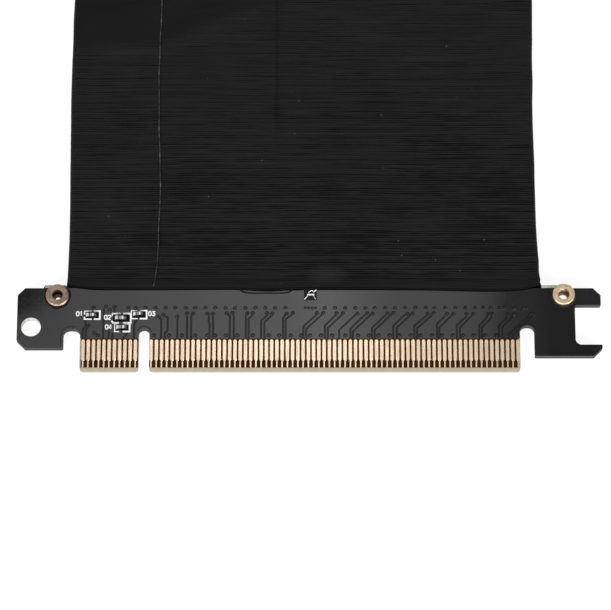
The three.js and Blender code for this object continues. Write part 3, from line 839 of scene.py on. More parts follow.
# painted shade: black sheets in the chip boxes, standing in for the chips' shadows
film = Bag()
for x0, x1, y0, y1 in ((-42.1, -39.56, -2.70, -1.42), (-36.85, -33.64, -3.44, -1.92), (-33.18, -30.6, -2.62, -1.33), (-36.36, -33.82, -5.22, -3.98)):
    film.prism(rounded(x0, y0, x1, y1, 0.3, 3), BT - 0.003, BT + 0.008)
film.piece("chip_shade_films", [CHIP_SHADE_FILM])
DIGITS = {
    "0": [[(0, .22), (.22, 0), (.5, 0), (.72, .22), (.72, .98), (.5, 1.2), (.22, 1.2), (0, .98), (0, .22)]],
    "1": [[(.12, .98), (.38, 1.2), (.38, 0)]],
    "2": [[(0, .98), (.2, 1.2), (.52, 1.2), (.72, .98), (.72, .76), (0, 0), (.72, 0)]],
    "3": [[(0, 1.2), (.72, 1.2), (.34, .72), (.52, .72), (.72, .52), (.72, .2), (.52, 0), (.2, 0), (0, .2)]],
    "4": [[(.52, 0), (.52, 1.2), (0, .36), (.72, .36)]],
}


def write(text, x, y, size):
    s = size / 1.2
    for ch in text:
        for path in DIGITS[ch]:
            stroke([(x + a * s, y + b * s) for a, b in path], 0.21)
        x += 0.98 * s


write("01", -43.85, -2.18, 0.82)
write("02", -38.46, -2.92, 0.82)
write("03", -30.02, -2.16, 0.82)
write("04", -38.25, -4.88, 0.82)
ink.piece("printed_marks", [INK])


# --------------------------------------------------------- chip capacitors
def chip(name, turn=0.0):
    """One chip capacitor on its CAD place; turn is how far it was soldered askew, in degrees."""
    lo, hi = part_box(name)
    x0, x1 = lo.x * 1000 - OX, hi.x * 1000 - OX
    y0, y1 = lo.y * 1000 - OY, hi.y * 1000 - OY
    z0, z1 = lo.z * 1000, hi.z * 1000
    b = Bag()
    t = 0.36 * (x1 - x0) / 1.7
    cap = 0.02
    back = y1 - 0.13                            # the back edges are well rounded
    b.prism(rounded(x0 + t * 0.8, y0 + cap, x1 - t * 1.4, back - cap, 0.05, 2), z0 + cap, z1 - cap, 0.03, 0)
    # the band near the right end and the left cap are in the lit tin, the right cap in the shaded tin: painted light
    # and shade
    b.prism(rounded(x1 - t * 1.9, y0 + cap, x1 - t * 0.8, back - cap, 0.05, 2), z0 + cap, z1 - cap * 0.6, 0.03, 1)
    b.prism(rounded(x0, y0, x0 + t, back, 0.07, 3), z0, z1, 0.05, 1)
    b.prism(rounded(x1 - t, y0, x1, back, 0.07, 3), z0, z1, 0.05, 2)
    # solder fillets at both ends, the left one in the lit copy of the tin and the right one in the shaded copy
    for xe, s in ((x0, -1), (x1, 1)):
        xs = [xe, xe + s * 0.06, xe + s * 0.15]
        zs = [z0 + 0.26, z0 + 0.10, z0 - 0.015]
        ya, yb = y0 + 0.06, y1 - 0.06
        v, f = [], []
        for xx, zz in zip(xs, zs):
            v += [(xx, ya, zz), (xx, yb, zz), (xx, ya, z0 - 0.018), (xx, yb, z0 - 0.018)]
        for k in range(2):
            p, q = k * 4, (k + 1) * 4
            f += [[p, q, q + 1, p + 1], [p + 2, p + 3, q + 3, q + 2], [p, p + 2, q + 2, q], [p + 1, q + 1, q + 3, p + 3]]
        f += [[0, 1, 3, 2], [8, 10, 11, 9]]
        if s < 0:
            f = [list(reversed(k)) for k in f]
        b.add(v, f, 1 if s < 0 else 2)
    mx, my, ca, sa = (x0 + x1) / 2, (y0 + y1) / 2, math.cos(math.radians(turn)), math.sin(math.radians(turn))
    b.v = [(mx + (x - mx) * ca - (y - my) * sa, my + (x - mx) * sa + (y - my) * ca, z) for x, y, z in b.v]
    o = b.piece(name + "_detail", [CERAMIC, CHIP_END_LIT, CHIP_END_SHADED, CHIP_FRONT_SHADE], [name])
    # faces turned to the front take the near-black copy: painted shade
    for p in o.data.polygons:
        if p.normal.y < -0.5:
            p.material_index = 3
    return o


for i, turn in ((1, 1.0), (2, -1.5), (3, 6.0), (4, 2.0)):
    chip(f"capacitor_{i}", turn)


# ------------------------------------------------------------- standoffs
def standoff(node, tint, dark, chamfer, rough, B, low, bore, wall):
    """B is the bore's radius, low the radius of its narrower foot."""
    lo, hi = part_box(node)
    cx, cy = (lo.x + hi.x) * 500 - OX, (lo.y + hi.y) * 500 - OY
    z0, z1 = lo.z * 1000, hi.z * 1000
    R, S, c = (hi.x - lo.x) * 500, 1.6, 0.12
    za, zb = BB - 0.05, BT + 0.05

    def arc(r0, za_, r1, zb_, n=3):
        return [(r0 + (r1 - r0) * math.sin(math.pi / 2 * k / n), za_ + (zb_ - za_) * (1 - math.cos(math.pi / 2 * k / n))) for k in range(n + 1)]

    top = z1
    prof = [(low + 0.1, z0), (R - c, z0), (R - 0.03, z0 + 0.03), (R, z0 + c), (R, za - 0.03), (R - 0.03, za), (S, za), (S, zb),
            (R - 0.03, zb), (R, zb + 0.03),
            (R, top - chamfer - 0.03), (R - 0.02, top - chamfer), (R - chamfer + 0.02, top - 0.02), (R - chamfer - 0.03, top),
            (B + 0.06, top), (B + 0.03, top - 0.012), (B, top - 0.06), (B, top - 0.12)]
    # a few shallow thread turns inside the bore
    turns = 7
    lowest = z0 + 0.75
    for k in range(turns):
        z = top - 0.25 - (top - 0.25 - lowest) * k / turns
        h = (top - 0.25 - lowest) / turns
        prof += [(B, z), (B + 0.09, z - h * 0.45), (B + 0.09, z - h * 0.55)]
    prof += [(B, lowest), (B, lowest - 0.1), (low, lowest - 0.22), (low, z0 + 0.1)]
    clean = [prof[0]]
    for p in prof[1:]:
        if abs(p[0] - clean[-1][0]) + abs(p[1] - clean[-1][1]) > 1e-4:
            clean.append(p)
    bag = Bag()
    bag.lathe(cx, cy, clean, 56, smooth=False)
    mats = [make_brass("brass_" + node, (cx, cy), tint, dark, rough), make_shaded_brass("bore_painted_shade_" + node, cx, *bore), make_shaded_brass("wall_painted_shade_" + node, cx, *wall)]
    o = bag.piece(node + "_turned", mats, [node])
    for p in o.data.polygons:
        p.use_smooth = True
        r = math.hypot(p.center.x * 1000 - OX - cx, p.center.y * 1000 - OY - cy)
        # the bore and the outer side wall take the dark copies: painted shade
        if r < B + 0.1 and p.normal.z < 0.9:
            p.material_index = 1
        elif r > R - 0.03 and abs(p.normal.z) < 0.3:
            p.material_index = 2
    o.data.set_sharp_from_angle(angle=math.radians(24))
    return o


standoff("standoff_left", (0.58, 0.43, 0.33), (0.30, 0.21, 0.145), 0.20, 0.46, 1.0, 0.50,
         ((0.105, 0.052, 0.036), (0.030, 0.011, 0.007)), ((0.070, 0.045, 0.032), (0.035, 0.022, 0.015)))
standoff("standoff_right", (1.0, 0.81, 0.56), (0.80, 0.62, 0.40), 0.12, 0.50, 1.06, 0.80,
         ((0.85, 0.66, 0.54), (0.16, 0.095, 0.040)), ((0.22, 0.15, 0.11), (0.10, 0.065, 0.045)))
# painted reflection and shade: a dark ring on the board round each standoff, the paler copy on the right
halo_bag = Bag()
for cx, cy, head, w in ((-47.55, 1.82, 2.225, 0.36), (49.5, 2.0, 2.125, 0.34)):
    seg = 48
    rows = [[], [], [], []]
    for k in range(seg):
        t = 2 * math.pi * k / seg
        outer = head + w + 0.05 * math.sin(3 * t) + 0.04 * math.sin(7 * t + 1)
        if math.sin(t) > 0.1:
            outer = min(outer, (3.42 - cy) / math.sin(t))      # not past the board's back edge
        inner = min(1.80, outer - 0.12)
        for row, (r, z) in zip(rows, ((inner, BT - 0.004), (outer, BT - 0.004), (outer - 0.04, BT + 0.010), (inner + 0.02, BT + 0.010))):
            row.append((cx + r * math.cos(t), cy + r * math.sin(t), z))
    v = [p for row in rows for p in row]
    f = [[a * seg + k, a * seg + (k + 1) % seg, ((a + 1) % 4) * seg + (k + 1) % seg, ((a + 1) % 4) * seg + k] for a in range(4) for k in range(seg)]
    halo_bag.add(v, f, 0 if cx < 0 else 1)
halo_bag.piece("standoff_painted_halos", [PAINTED_HALO, PAINTED_HALO_PALE])


# ----------------------------------------------------------- ground strap
def make_strap_mat():
    M = Mat("ground_solder")
    z = M.axis(2)
    n = M.noise(2600.0, 3.0)
    hgt = M.map(z, (BT + 0.10) / 1000, (BT + 0.20) / 1000)
    col = M.mix(hgt, M.ramp(n, [(0.3, (0.006, 0.006, 0.0065)), (0.7, (0.02, 0.02, 0.021))]), M.ramp(n, [(0.3, (0.6, 0.6, 0.59)), (0.7, (0.92, 0.92, 0.90))]))
    M.set(color=col, metal=M.math("MULTIPLY", hgt, 0.8), spec=0.2,
          rough=M.math("SUBTRACT", M.map(n, 0.3, 0.7, 0.55, 0.75), M.math("MULTIPLY", hgt, 0.3)))
    M.set(normal=M.bump(n, 0.5, 2e-5))
    return M.m


def strap():
    lo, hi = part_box("ground_strap")
    x0, x1 = lo.x * 1000 - OX, hi.x * 1000 - OX
    y0, y1 = lo.y * 1000 - OY - 0.12, hi.y * 1000 - OY + 0.12
    cx, cy = (x0 + x1) / 2, (y0 + y1) / 2
    n = 61
    z_base = BT - 0.01
    # solder runs: ends, half width, height
    runs = [((0.50, 2.10), (1.55, 2.12), 0.17, 0.34), ((0.55, 2.0), (-0.12, 1.22), 0.11, 0.24), ((1.5, 2.0), (1.86, 1.28), 0.09, 0.15),
            ((0.5, 2.2), (0.62, 2.62), 0.09, 0.20), ((0.62, 2.62), (1.1, 2.92), 0.08, 0.19), ((1.1, 2.92), (1.5, 2.80), 0.08, 0.20),
            ((1.5, 2.80), (1.66, 2.25), 0.10, 0.24), ((1.6, 2.75), (2.0, 3.02), 0.11, 0.22)]

    def height(x, y):
        best = 0.0
        for (ax, ay), (bx, by), w, top in runs:
            L2 = (bx - ax) ** 2 + (by - ay) ** 2
            t = max(0.0, min(1.0, ((x - ax) * (bx - ax) + (y - ay) * (by - ay)) / L2))
            d = math.hypot(x - ax - t * (bx - ax), y - ay - t * (by - ay)) / w
            if d < 1.35:
                best = max(best, top * math.sqrt(max(0.0, 1 - (d / 1.35) ** 2)))
        h = 0.05 + best + 0.012 * math.sin(x * 23) * math.sin(y * 19)
        e = max(abs(x - cx) / 1.22, abs(y - cy) / ((y1 - y0) / 2))
        if e > 0.94:
            h *= max(0.0, (1.0 - e) / 0.06)
        return z_base + min(h, 0.44) + 0.01

    v, f = [], []
    for j in range(n):
        for i in range(n):
            x, y = x0 + (x1 - x0) * i / (n - 1), y0 + (y1 - y0) * j / (n - 1)
            v.append((x, y, height(x, y)))
    for j in range(n - 1):
        for i in range(n - 1):
            a = j * n + i
            f.append([a, a + 1, a + n + 1, a + n])
    base = len(v)
    rim = [i for i in range(n)] + [j * n + n - 1 for j in range(1, n)] + [(n - 1) * n + i for i in range(n - 2, -1, -1)] + [j * n for j in range(n - 2, 0, -1)]
    for r in rim:
        v.append((v[r][0], v[r][1], z_base - 0.004))
    m = len(rim)
    for k in range(m):
        q = (k + 1) % m
        f.append([rim[q], rim[k], base + k, base + q])
    f.append([base + k for k in reversed(range(m))])
    b = Bag()
    b.add(v, f, 0, True)
    return b.piece("ground_strap_soldered", [make_strap_mat()], ["ground_strap"])


strap()


# ---------------------------------------------------------------- jacket
JX0, JX1, JT, JR = -45.65, 44.55, 2.87, 1.15
JY0, JY1 = 3.2, 203.2
WALL = 0.35


def interp(x, pts):
    xs, ys = zip(*pts)
    return np.interp(x, xs, ys)


def waves(x, y, spec):
    s = 0.0
    for a, kx, ky, ph in spec:
        s = s + a * np.sin(x * kx + y * ky + ph)
    return s


def jacket():
    top_x = [JX0 + JR, -41.2, -37.8, -34.4, -31.2, -29.3, -28.72, -28.52, -28.38, -28.26, -28.12, -27.6, -25.0, -21.2, -17.4, -13.6,
             -10.0, -7.2, -6.2, -5.6, -5.0, -3.4, 0.6, 4.6, 8.8, 13.0, 17.2, 21.4, 25.6, 29.8, 34.0, 38.0, 41.2, JX1 - JR]
    bot_x = list(np.linspace(JX1 - JR, JX0 + JR, 12))
    cols = []                                   # x, z, nx, nz
    for x in top_x:
        cols.append((x, JT, 0.0, 1.0))
    for k in (1, 2):
        a = math.radians(90 - 45 * k)
        cols.append((JX1 - JR + JR * math.cos(a), JT - JR + JR * math.sin(a), math.cos(a), math.sin(a)))
    for k in (0, 1):
        a = math.radians(-45 * k)
        cols.append((JX1 - JR + JR * math.cos(a), JR + JR * math.sin(a), math.cos(a), math.sin(a)))
    for x in bot_x:
        cols.append((x, 0.0, 0.0, -1.0))
    for k in (1, 2):
        a = math.radians(-90 - 45 * k)
        cols.append((JX0 + JR + JR * math.cos(a), JR + JR * math.sin(a), math.cos(a), math.sin(a)))
    for k in (0, 1):
        a = math.radians(180 - 45 * k)
        cols.append((JX0 + JR + JR * math.cos(a), JT - JR + JR * math.sin(a), math.cos(a), math.sin(a)))
    C = np.array(cols)
    X, Z, NX, NZ = C.T
    nc = len(cols)
    per = 4
    rows = int(round((JY1 - JY0) / RIB)) * per
    yj = np.linspace(JY0, JY1, rows + 1)
    Yg, Xg = np.meshgrid(yj, X, indexing="ij")
    Zg = np.broadcast_to(Z, Yg.shape)
    up = np.clip(Zg / JT, 0, 1)

    # mouth edge at the gold board: slightly wavy, pulled back at the two folds
    mouth_top = interp(X, [(-45.8, 0.72), (-44.2, 0.5), (-42.6, 0.22), (-41.0, 0.08), (-38, 0.0), (-28, -0.03), (-20, 0.03), (-13.5, 0.05),
                           (-11.5, -0.12), (-8, -0.32), (-4.5, -0.2), (-2.0, 0.06), (6, 0.04), (15, -0.02), (22, -0.05),
                           (28, -0.18), (33.4, -0.33), (38.2, -0.26), (41.5, 0.0), (43.5, 0.5), (44.7, 0.85)])
    mouth_bot = interp(X, [(-45.8, 0.7), (-43.5, 0.3), (-40, 0.1), (-20, 0.0), (0, 0.12), (20, 0.02), (40, 0.1), (43, 0.35), (44.7, 0.8)])
    m0 = up * mouth_top + (1 - up) * mouth_bot
    far_top = interp(X, [(-45.8, -0.35), (-42, -0.1), (-20, 0.05), (0, -0.04), (20, 0.04), (42, -0.1), (44.7, -0.35)])
    wav = waves(Xg, Yg, [(0.10, 0.075, 0.05, 0.4), (0.05, 0.21, -0.09, 1.9), (0.035, 0.43, 0.17, 0.2), (0.02, 0.9, 0.31, 2.2), (0.055, 0.06, 0.45, 1.2)])
    keep = np.clip((Yg - JY0) / 3.0, 0, 1) * np.clip((JY1 - Yg) / 3.0, 0, 1)
    Y = Yg + m0 * np.exp(-(Yg - JY0) / 2.4) + far_top * np.exp(-(JY1 - Yg) / 2.4) + wav * keep

    # ribs, cut inwards from the nominal surface; each furrow deepens and fades along its own length
    nr_ribs = rows // per + 2
    prm = np.array([[rng.uniform(-1, 1), rng.uniform(0.10, 0.24), rng.uniform(0, 6.28), rng.uniform(0.3, 0.6), rng.uniform(0, 6.28)] for _ in range(nr_ribs)])
    which = (np.arange(rows + 1) + per // 2) // per
    a0, k1, p1, k2, p2 = prm[which].T
    own = a0[:, None] * 0.45 + 0.5 * np.sin(Xg * k1[:, None] + p1[:, None]) + 0.3 * np.sin(Xg * k2[:, None] + p2[:, None])
    area_amp = 1 + 0.30 * waves(Xg, Yg, [(0.5, 0.11, 0.13, 0.3), (0.35, 0.29, -0.21, 1.1), (0.3, 0.61, 0.37, 2.7)])
    near = (0.61 + 0.52 * np.clip((45 - Yg) / 30, 0, 1)) * (1 + 0.17 * np.clip((Xg + 3) / 10, 0, 1))
    fade = 0.25 + 0.75 * np.clip((Yg - JY0 - 0.8) / 2.4, 0, 1)
    fade *= 0.25 + 0.75 * np.clip((JY1 - Yg - 0.8) / 2.4, 0, 1)
    ridge_y = interp(X, [(-46, 52.6), (-36.5, 53.0), (-28.6, 53.6), (-19.8, 57.2), (-8, 62.7), (0, 67.5), (46, 90)])
    smooth = np.clip((Yg - ridge_y) / 2.0, 0, 1) * np.clip((120 - Yg) / 30, 0, 1) * np.clip((8 - Xg) / 10, 0, 1) * up
    fade *= 1 - 0.9 * smooth
    strength = np.clip(0.8 + 0.55 * own, 0.05, 1.6) * area_amp * near * fade
    phase = 2 * np.pi * np.arange(rows + 1) / per
    dip = (0.5 - 0.5 * np.cos(phase))[:, None]
    d = -dip * 0.075 * np.clip(strength, 0, 1.5)
    # painted shade for the cloth's colour, stored on the mesh: strongest in each furrow, a middle level where the ribs
    # fade out
    painted_shading = np.clip(0.46 * (1 - fade) + dip * strength * 0.92, 0, 1.3)
    # uneven picks, painted as shade: fainter, longer beats than the ribs, drifting along and across
    drift = waves(Xg, Yg, [(1.1, 0.09, 0.031, 1.0), (0.7, 0.21, -0.06, 0.3), (0.5, 0.43, 0.11, 2.0)])
    beat = (0.16 * np.sin(2 * np.pi * Yg / 0.70 + drift) + 0.07 * np.sin(2 * np.pi * Yg / 1.62 - 1.2 * drift + 0.6)
            + 0.08 * np.sin(2 * np.pi * Yg / 1.0 + 1.4 * drift + 2.0))
    painted_shading = painted_shading + beat * np.clip(fade, 0.05, 1) * (0.65 + 0.5 * np.clip((60 - Yg) / 50, 0, 1))
    # painted shade: a dark band along the mouth edge, below the cloth's cut end
    painted_shading = painted_shading + 1.1 * np.exp(-((Yg - JY0) / 0.16) ** 2)

    # slow swells of the face, creases, the lapped seam and the lip at the mouth
    face = (NZ > 0.99)
    swell = waves(Xg, Yg, [(0.035, 0.10, 0.06, 0.9), (0.03, 0.17, -0.045, 2.3), (0.02, 0.05, 0.14, 4.0), (0.012, 0.31, 0.23, 1.0)]) - 0.06
    crease = 0.10 * np.exp(-((Yg - ridge_y) / 0.8) ** 2) * np.clip((-4 - Xg) / 6, 0, 1) * np.clip((Xg + 44) / 6, 0, 1)
    second = interp(X, [(-46, 45), (14, 49.6), (22, 51.6), (33, 52.2), (41, 53.9), (46, 54.5)])
    crease = crease + 0.07 * np.exp(-((Yg - second) / 0.6) ** 2) * np.clip((Xg - 12) / 8, 0, 1)
    groove = -0.11 * np.exp(-((Xg + 5.6) / 0.55) ** 2) * np.clip((Yg - 30) / 14, 0, 1) * np.clip((JY1 - 8 - Yg) / 14, 0, 1)
    swell = swell + crease + groove
    # painted shade in the lengthwise groove, painted highlight along the creases
    painted_shading = painted_shading + face * 0.32 * np.exp(-((Xg + 5.6) / 0.5) ** 2) * np.clip((Yg - 30) / 14, 0, 1) - face * crease * 2.2
    painted_shading = np.clip(painted_shading, 0, 1.3)
    edge_in = np.clip((Xg - (JX0 + JR)) / 3, 0, 1) * np.clip(((JX1 - JR) - Xg) / 3, 0, 1)
    d = d + face * swell * edge_in
    seam_y = [3.2, 5.1, 8.4, 11.7, 15.1, 18.4, 21.7, 25.1, 28.4, 31.8, 35.1, 38.5, 41.9, 45.3, 48.7, 52.1, 55.6, 59.0, 62.5, 75, 95, 203]
    seam_x = [-.36, -.31, -.10, -.02, .06, .22, .25, .27, .10, -.03, -.14, -.14, -.19, -.17, -.20, -.17, -.15, -.03, -.03, .12, -.08, 0]
    seam_dx = (-0.7 * np.exp(-(Yg - JY0) / 2.0) + 0.06 * np.sin(Yg * 0.21 + 1.0) + 0.035 * np.sin(Yg * 0.63)
               + np.interp(Yg, seam_y, seam_x))
    lap = interp(X, [(-40, 0.0), (-36, 0.05), (-30, 0.10), (-28.72, 0.11), (-28.52, 0.14), (-28.38, 0.15), (-28.26, 0.04), (-28.12, -0.03), (-27.6, 0.0), (-27, 0.0)])
    d = d + face * lap * keep
    Xo = Xg + face * seam_dx * np.exp(-((Xg + 28.4) / 2.2) ** 2)
    lip = np.exp(-(Yg - JY0) / 0.7)
    bulge = np.exp(-((Xg + 7.2) / 3.6) ** 2)
    d = d + face * lip * (-0.10 + 0.17 * bulge)

    # the two folds flare a little where they meet the board
    left = np.clip((-Xg - 40.0) / 5.0, 0, 1) ** 2
    right = np.clip((Xg - 39.5) / 5.0, 0, 1) ** 2
    Xo = Xo - left * 0.27 * np.exp(-(Yg - JY0) / 2.6) + right * 0.60 * np.exp(-(Yg - JY0) / 1.3)
    Xo = Xo + (left - right) * (0.05 * np.sin(Yg * 0.12) + 0.03 * np.sin(Yg * 0.37 + 1))
    edge_y = [3.2, 5.1, 9.2, 13.4, 17.5, 21.7, 25.9, 30.1, 34.3, 38.6, 42.8, 47.1, 51.4, 55.7, 60.0, 64.4, 80, 110, 160, 203]
    edge_l = [-.06, -.06, -.04, 0, -.04, -.04, -.04, -.08, -.16, -.18, -.20, -.22, -.25, -.16, -.16, -.06, .1, -.12, .08, 0]
    edge_r = [.40, .40, .43, .22, .12, .06, -.04, -.02, -.08, -.16, -.18, .02, .04, .18, .24, .35, .2, -.12, .1, 0]
    wide_l, wide_r = np.clip((-Xg - 15.0) / 30.0, 0, 1) ** 1.5, np.clip((Xg - 15.0) / 29.0, 0, 1) ** 1.5
    Xo = Xo + wide_l * np.interp(Yg, edge_y, edge_l) + wide_r * np.interp(Yg, edge_y, edge_r)

    outer = np.stack([Xo + NX * d, Y, Zg + NZ * d], -1)
    outer[:, :, 2] = np.maximum(outer[:, :, 2], 0.0)

    def ring(row, inward, dy):
        r = outer[row].copy()
        r[:, 0] -= NX * inward
        r[:, 2] -= NZ * inward
        r[:, 1] += dy
        return r

    tail = [ring(-1, 0.10, 0.05), ring(-1, 0.30, 0.03), ring(-1, 0.42, -0.06), ring(-1, WALL, -1.5)]
    mid = []
    for y in np.linspace(JY1 - 8, JY0 + 8, 12):
        k = int(round((y - JY0) / (JY1 - JY0) * rows))
        r = outer[k].copy()
        r[:, 0] = X - NX * WALL
        r[:, 2] = Z - NZ * WALL
        r[:, 1] = yj[k]
        mid.append(r)
    head = [ring(0, WALL, 1.5), ring(0, 0.42, 0.06), ring(0, 0.30, -0.03), ring(0, 0.10, -0.05)]
    allr = np.concatenate([outer, np.array(tail), np.array(mid), np.array(head)], 0)
    nr = allr.shape[0]
    me = bpy.data.meshes.new("cable_jacket_cloth")
    co = allr.reshape(-1, 3).copy()
    co[:, 0] += OX
    co[:, 1] += OY
    co /= 1000.0
    i = np.arange(nr)[:, None]
    j = np.arange(nc)[None, :]
    i2, j2 = (i + 1) % nr, (j + 1) % nc
    quads = np.stack(np.broadcast_arrays(i * nc + j, i2 * nc + j, i2 * nc + j2, i * nc + j2), -1).reshape(-1, 4)
    me.vertices.add(len(co))
    me.vertices.foreach_set("co", co.astype(np.float32).ravel())
    me.loops.add(len(quads) * 4)
    me.loops.foreach_set("vertex_index", quads.astype(np.int32).ravel())
    me.polygons.add(len(quads))
    me.polygons.foreach_set("loop_start", np.arange(0, len(quads) * 4, 4, dtype=np.int32))
    me.polygons.foreach_set("loop_total", np.full(len(quads), 4, np.int32))
    me.polygons.foreach_set("use_smooth", np.ones(len(quads), bool))
    me.materials.append(CLOTH)
    me.materials.append(CLOTH_END_SHADE)
    n_out = outer.shape[0]
    # the cut ends and the inside of the tube take the near-black copy: painted shade
    inside = np.broadcast_to(i >= n_out - 1, (nr, nc)).ravel()
    me.polygons.foreach_set("material_index", inside.astype(np.int32))
    me.update(calc_edges=True)
    att = me.attributes.new("painted_shading", "FLOAT", "POINT")
    vals = np.full((nr, nc), 0.5, np.float32)
    vals[:n_out] = painted_shading
    att.data.foreach_set("value", vals.ravel())
    att = me.attributes.new("ribbed", "FLOAT", "POINT")
    vals = np.full((nr, nc), 0.5, np.float32)
    vals[:n_out] = np.clip(fade, 0, 1) ** 1.5
    att.data.foreach_set("value", vals.ravel())
    # where the seam's edge thread lies
    k = int(np.argmin(np.abs(X + 28.38) + (NZ < 0.99) * 100))
    line = outer[4:-4:4, k]
    return put("cable_jacket_cloth", me, ["cable_jacket"]), line


jacket_piece, seam_line = jacket()


def seam_thread(line):
    n, seg = len(line), 6
    v, f = [], []
    for i, p in enumerate(line):
        r = 0.085 + 0.03 * math.sin(i * 1.9) * math.sin(i * 0.37 + 1)
        for k in range(seg):
            w = 2 * math.pi * k / seg
            v.append((p[0] + r * 1.25 * math.cos(w) + 0.02, p[1], p[2] + r * math.sin(w) + 0.012))
    for i in range(n - 1):
        for k in range(seg):
            q = (k + 1) % seg
            f.append([i * seg + k, (i + 1) * seg + k, (i + 1) * seg + q, i * seg + q])
    f.append([k for k in range(seg)])
    f.append([(n - 1) * seg + k for k in reversed(range(seg))])
    b = Bag()
    b.add(v, f, 0, True)
    return b.piece("jacket_seam_edge", [THREAD])


seam_piece = seam_thread(seam_line)

# clear film that shows from under the cloth's lifted lip
lens = Bag()
xs = [-13.15 + 11.2 * k / 28 for k in range(29)]
front = [(x, 3.50 - 1.24 * (1 - abs((x + 7.55) / 5.6) ** 6.5)) for x in xs]
crest = [(x + 0.03 * (-7.55 - x), y + 0.27) for x, y in front]
edge = [(front, BT - 0.003), (front, BT + 0.006), (crest, BT + 0.115)]
back = [(-2.1, 4.5), (-13.0, 4.5)]
n = len(front) + 2
lens.add([(p[0], p[1], z) for line, z in edge for p in line + back],
         [[k * n + i, k * n + (i + 1) % n, (k + 1) * n + (i + 1) % n, (k + 1) * n + i] for k in range(2) for i in range(n)]
         + [[2 * n + i for i in range(n)], [i for i in reversed(range(n))]])
lens.piece("mouth_film", [MASK])

# ------------------------------------------------------------- slot board
slot_board = NODES["slot_board"]
slot_board.data.materials.clear()
slot_board.data.materials.append(MASK)
slot_board.data.materials.append(EDGE_DARK)
for p in slot_board.data.polygons:
    p.material_index = 0 if abs(p.normal.z) > 0.95 else 1
dress("insulating_pad", PAD)
for n in ("glue_bead_male_top", "glue_bead_male_bottom", "glue_bead_slot_top", "glue_bead_slot_bottom"):
    dress(n, GLUE)
for n in ("shield_foil_top", "shield_foil_bottom"):
    dress(n, FOIL)
for a in ("upper", "lower"):
    for i in range(1, 5):
        dress(f"{a}_strip_{i}", STRIP)

S_CX, S_CY, S_LEN, S_W = -1.05, 219.6, 89.0, 7.6
S_Z0, S_Z1 = BT + 0.05, BT + 11.25
S_X0, S_KEY0, S_KEY1, S_X1 = -43.23, -31.72, -29.97, 41.12
PEG_X = (-44.3, 42.2)
F_HOLES = [(-50.3, 208.2), (-50.3, 226.6), (49.2, 208.2), (49.2, 226.6)]


def solid(name, verts, faces):
    me = bpy.data.meshes.new(name)
    v = np.array(verts, float).reshape(-1, 3)
    v[:, 0] += OX
    v[:, 1] += OY
    me.from_pydata((v / 1000).tolist(), [], faces)
    me.validate()
    me.update()
    o = bpy.data.objects.new(name, me)
    bpy.context.scene.collection.objects.link(o)
    return o


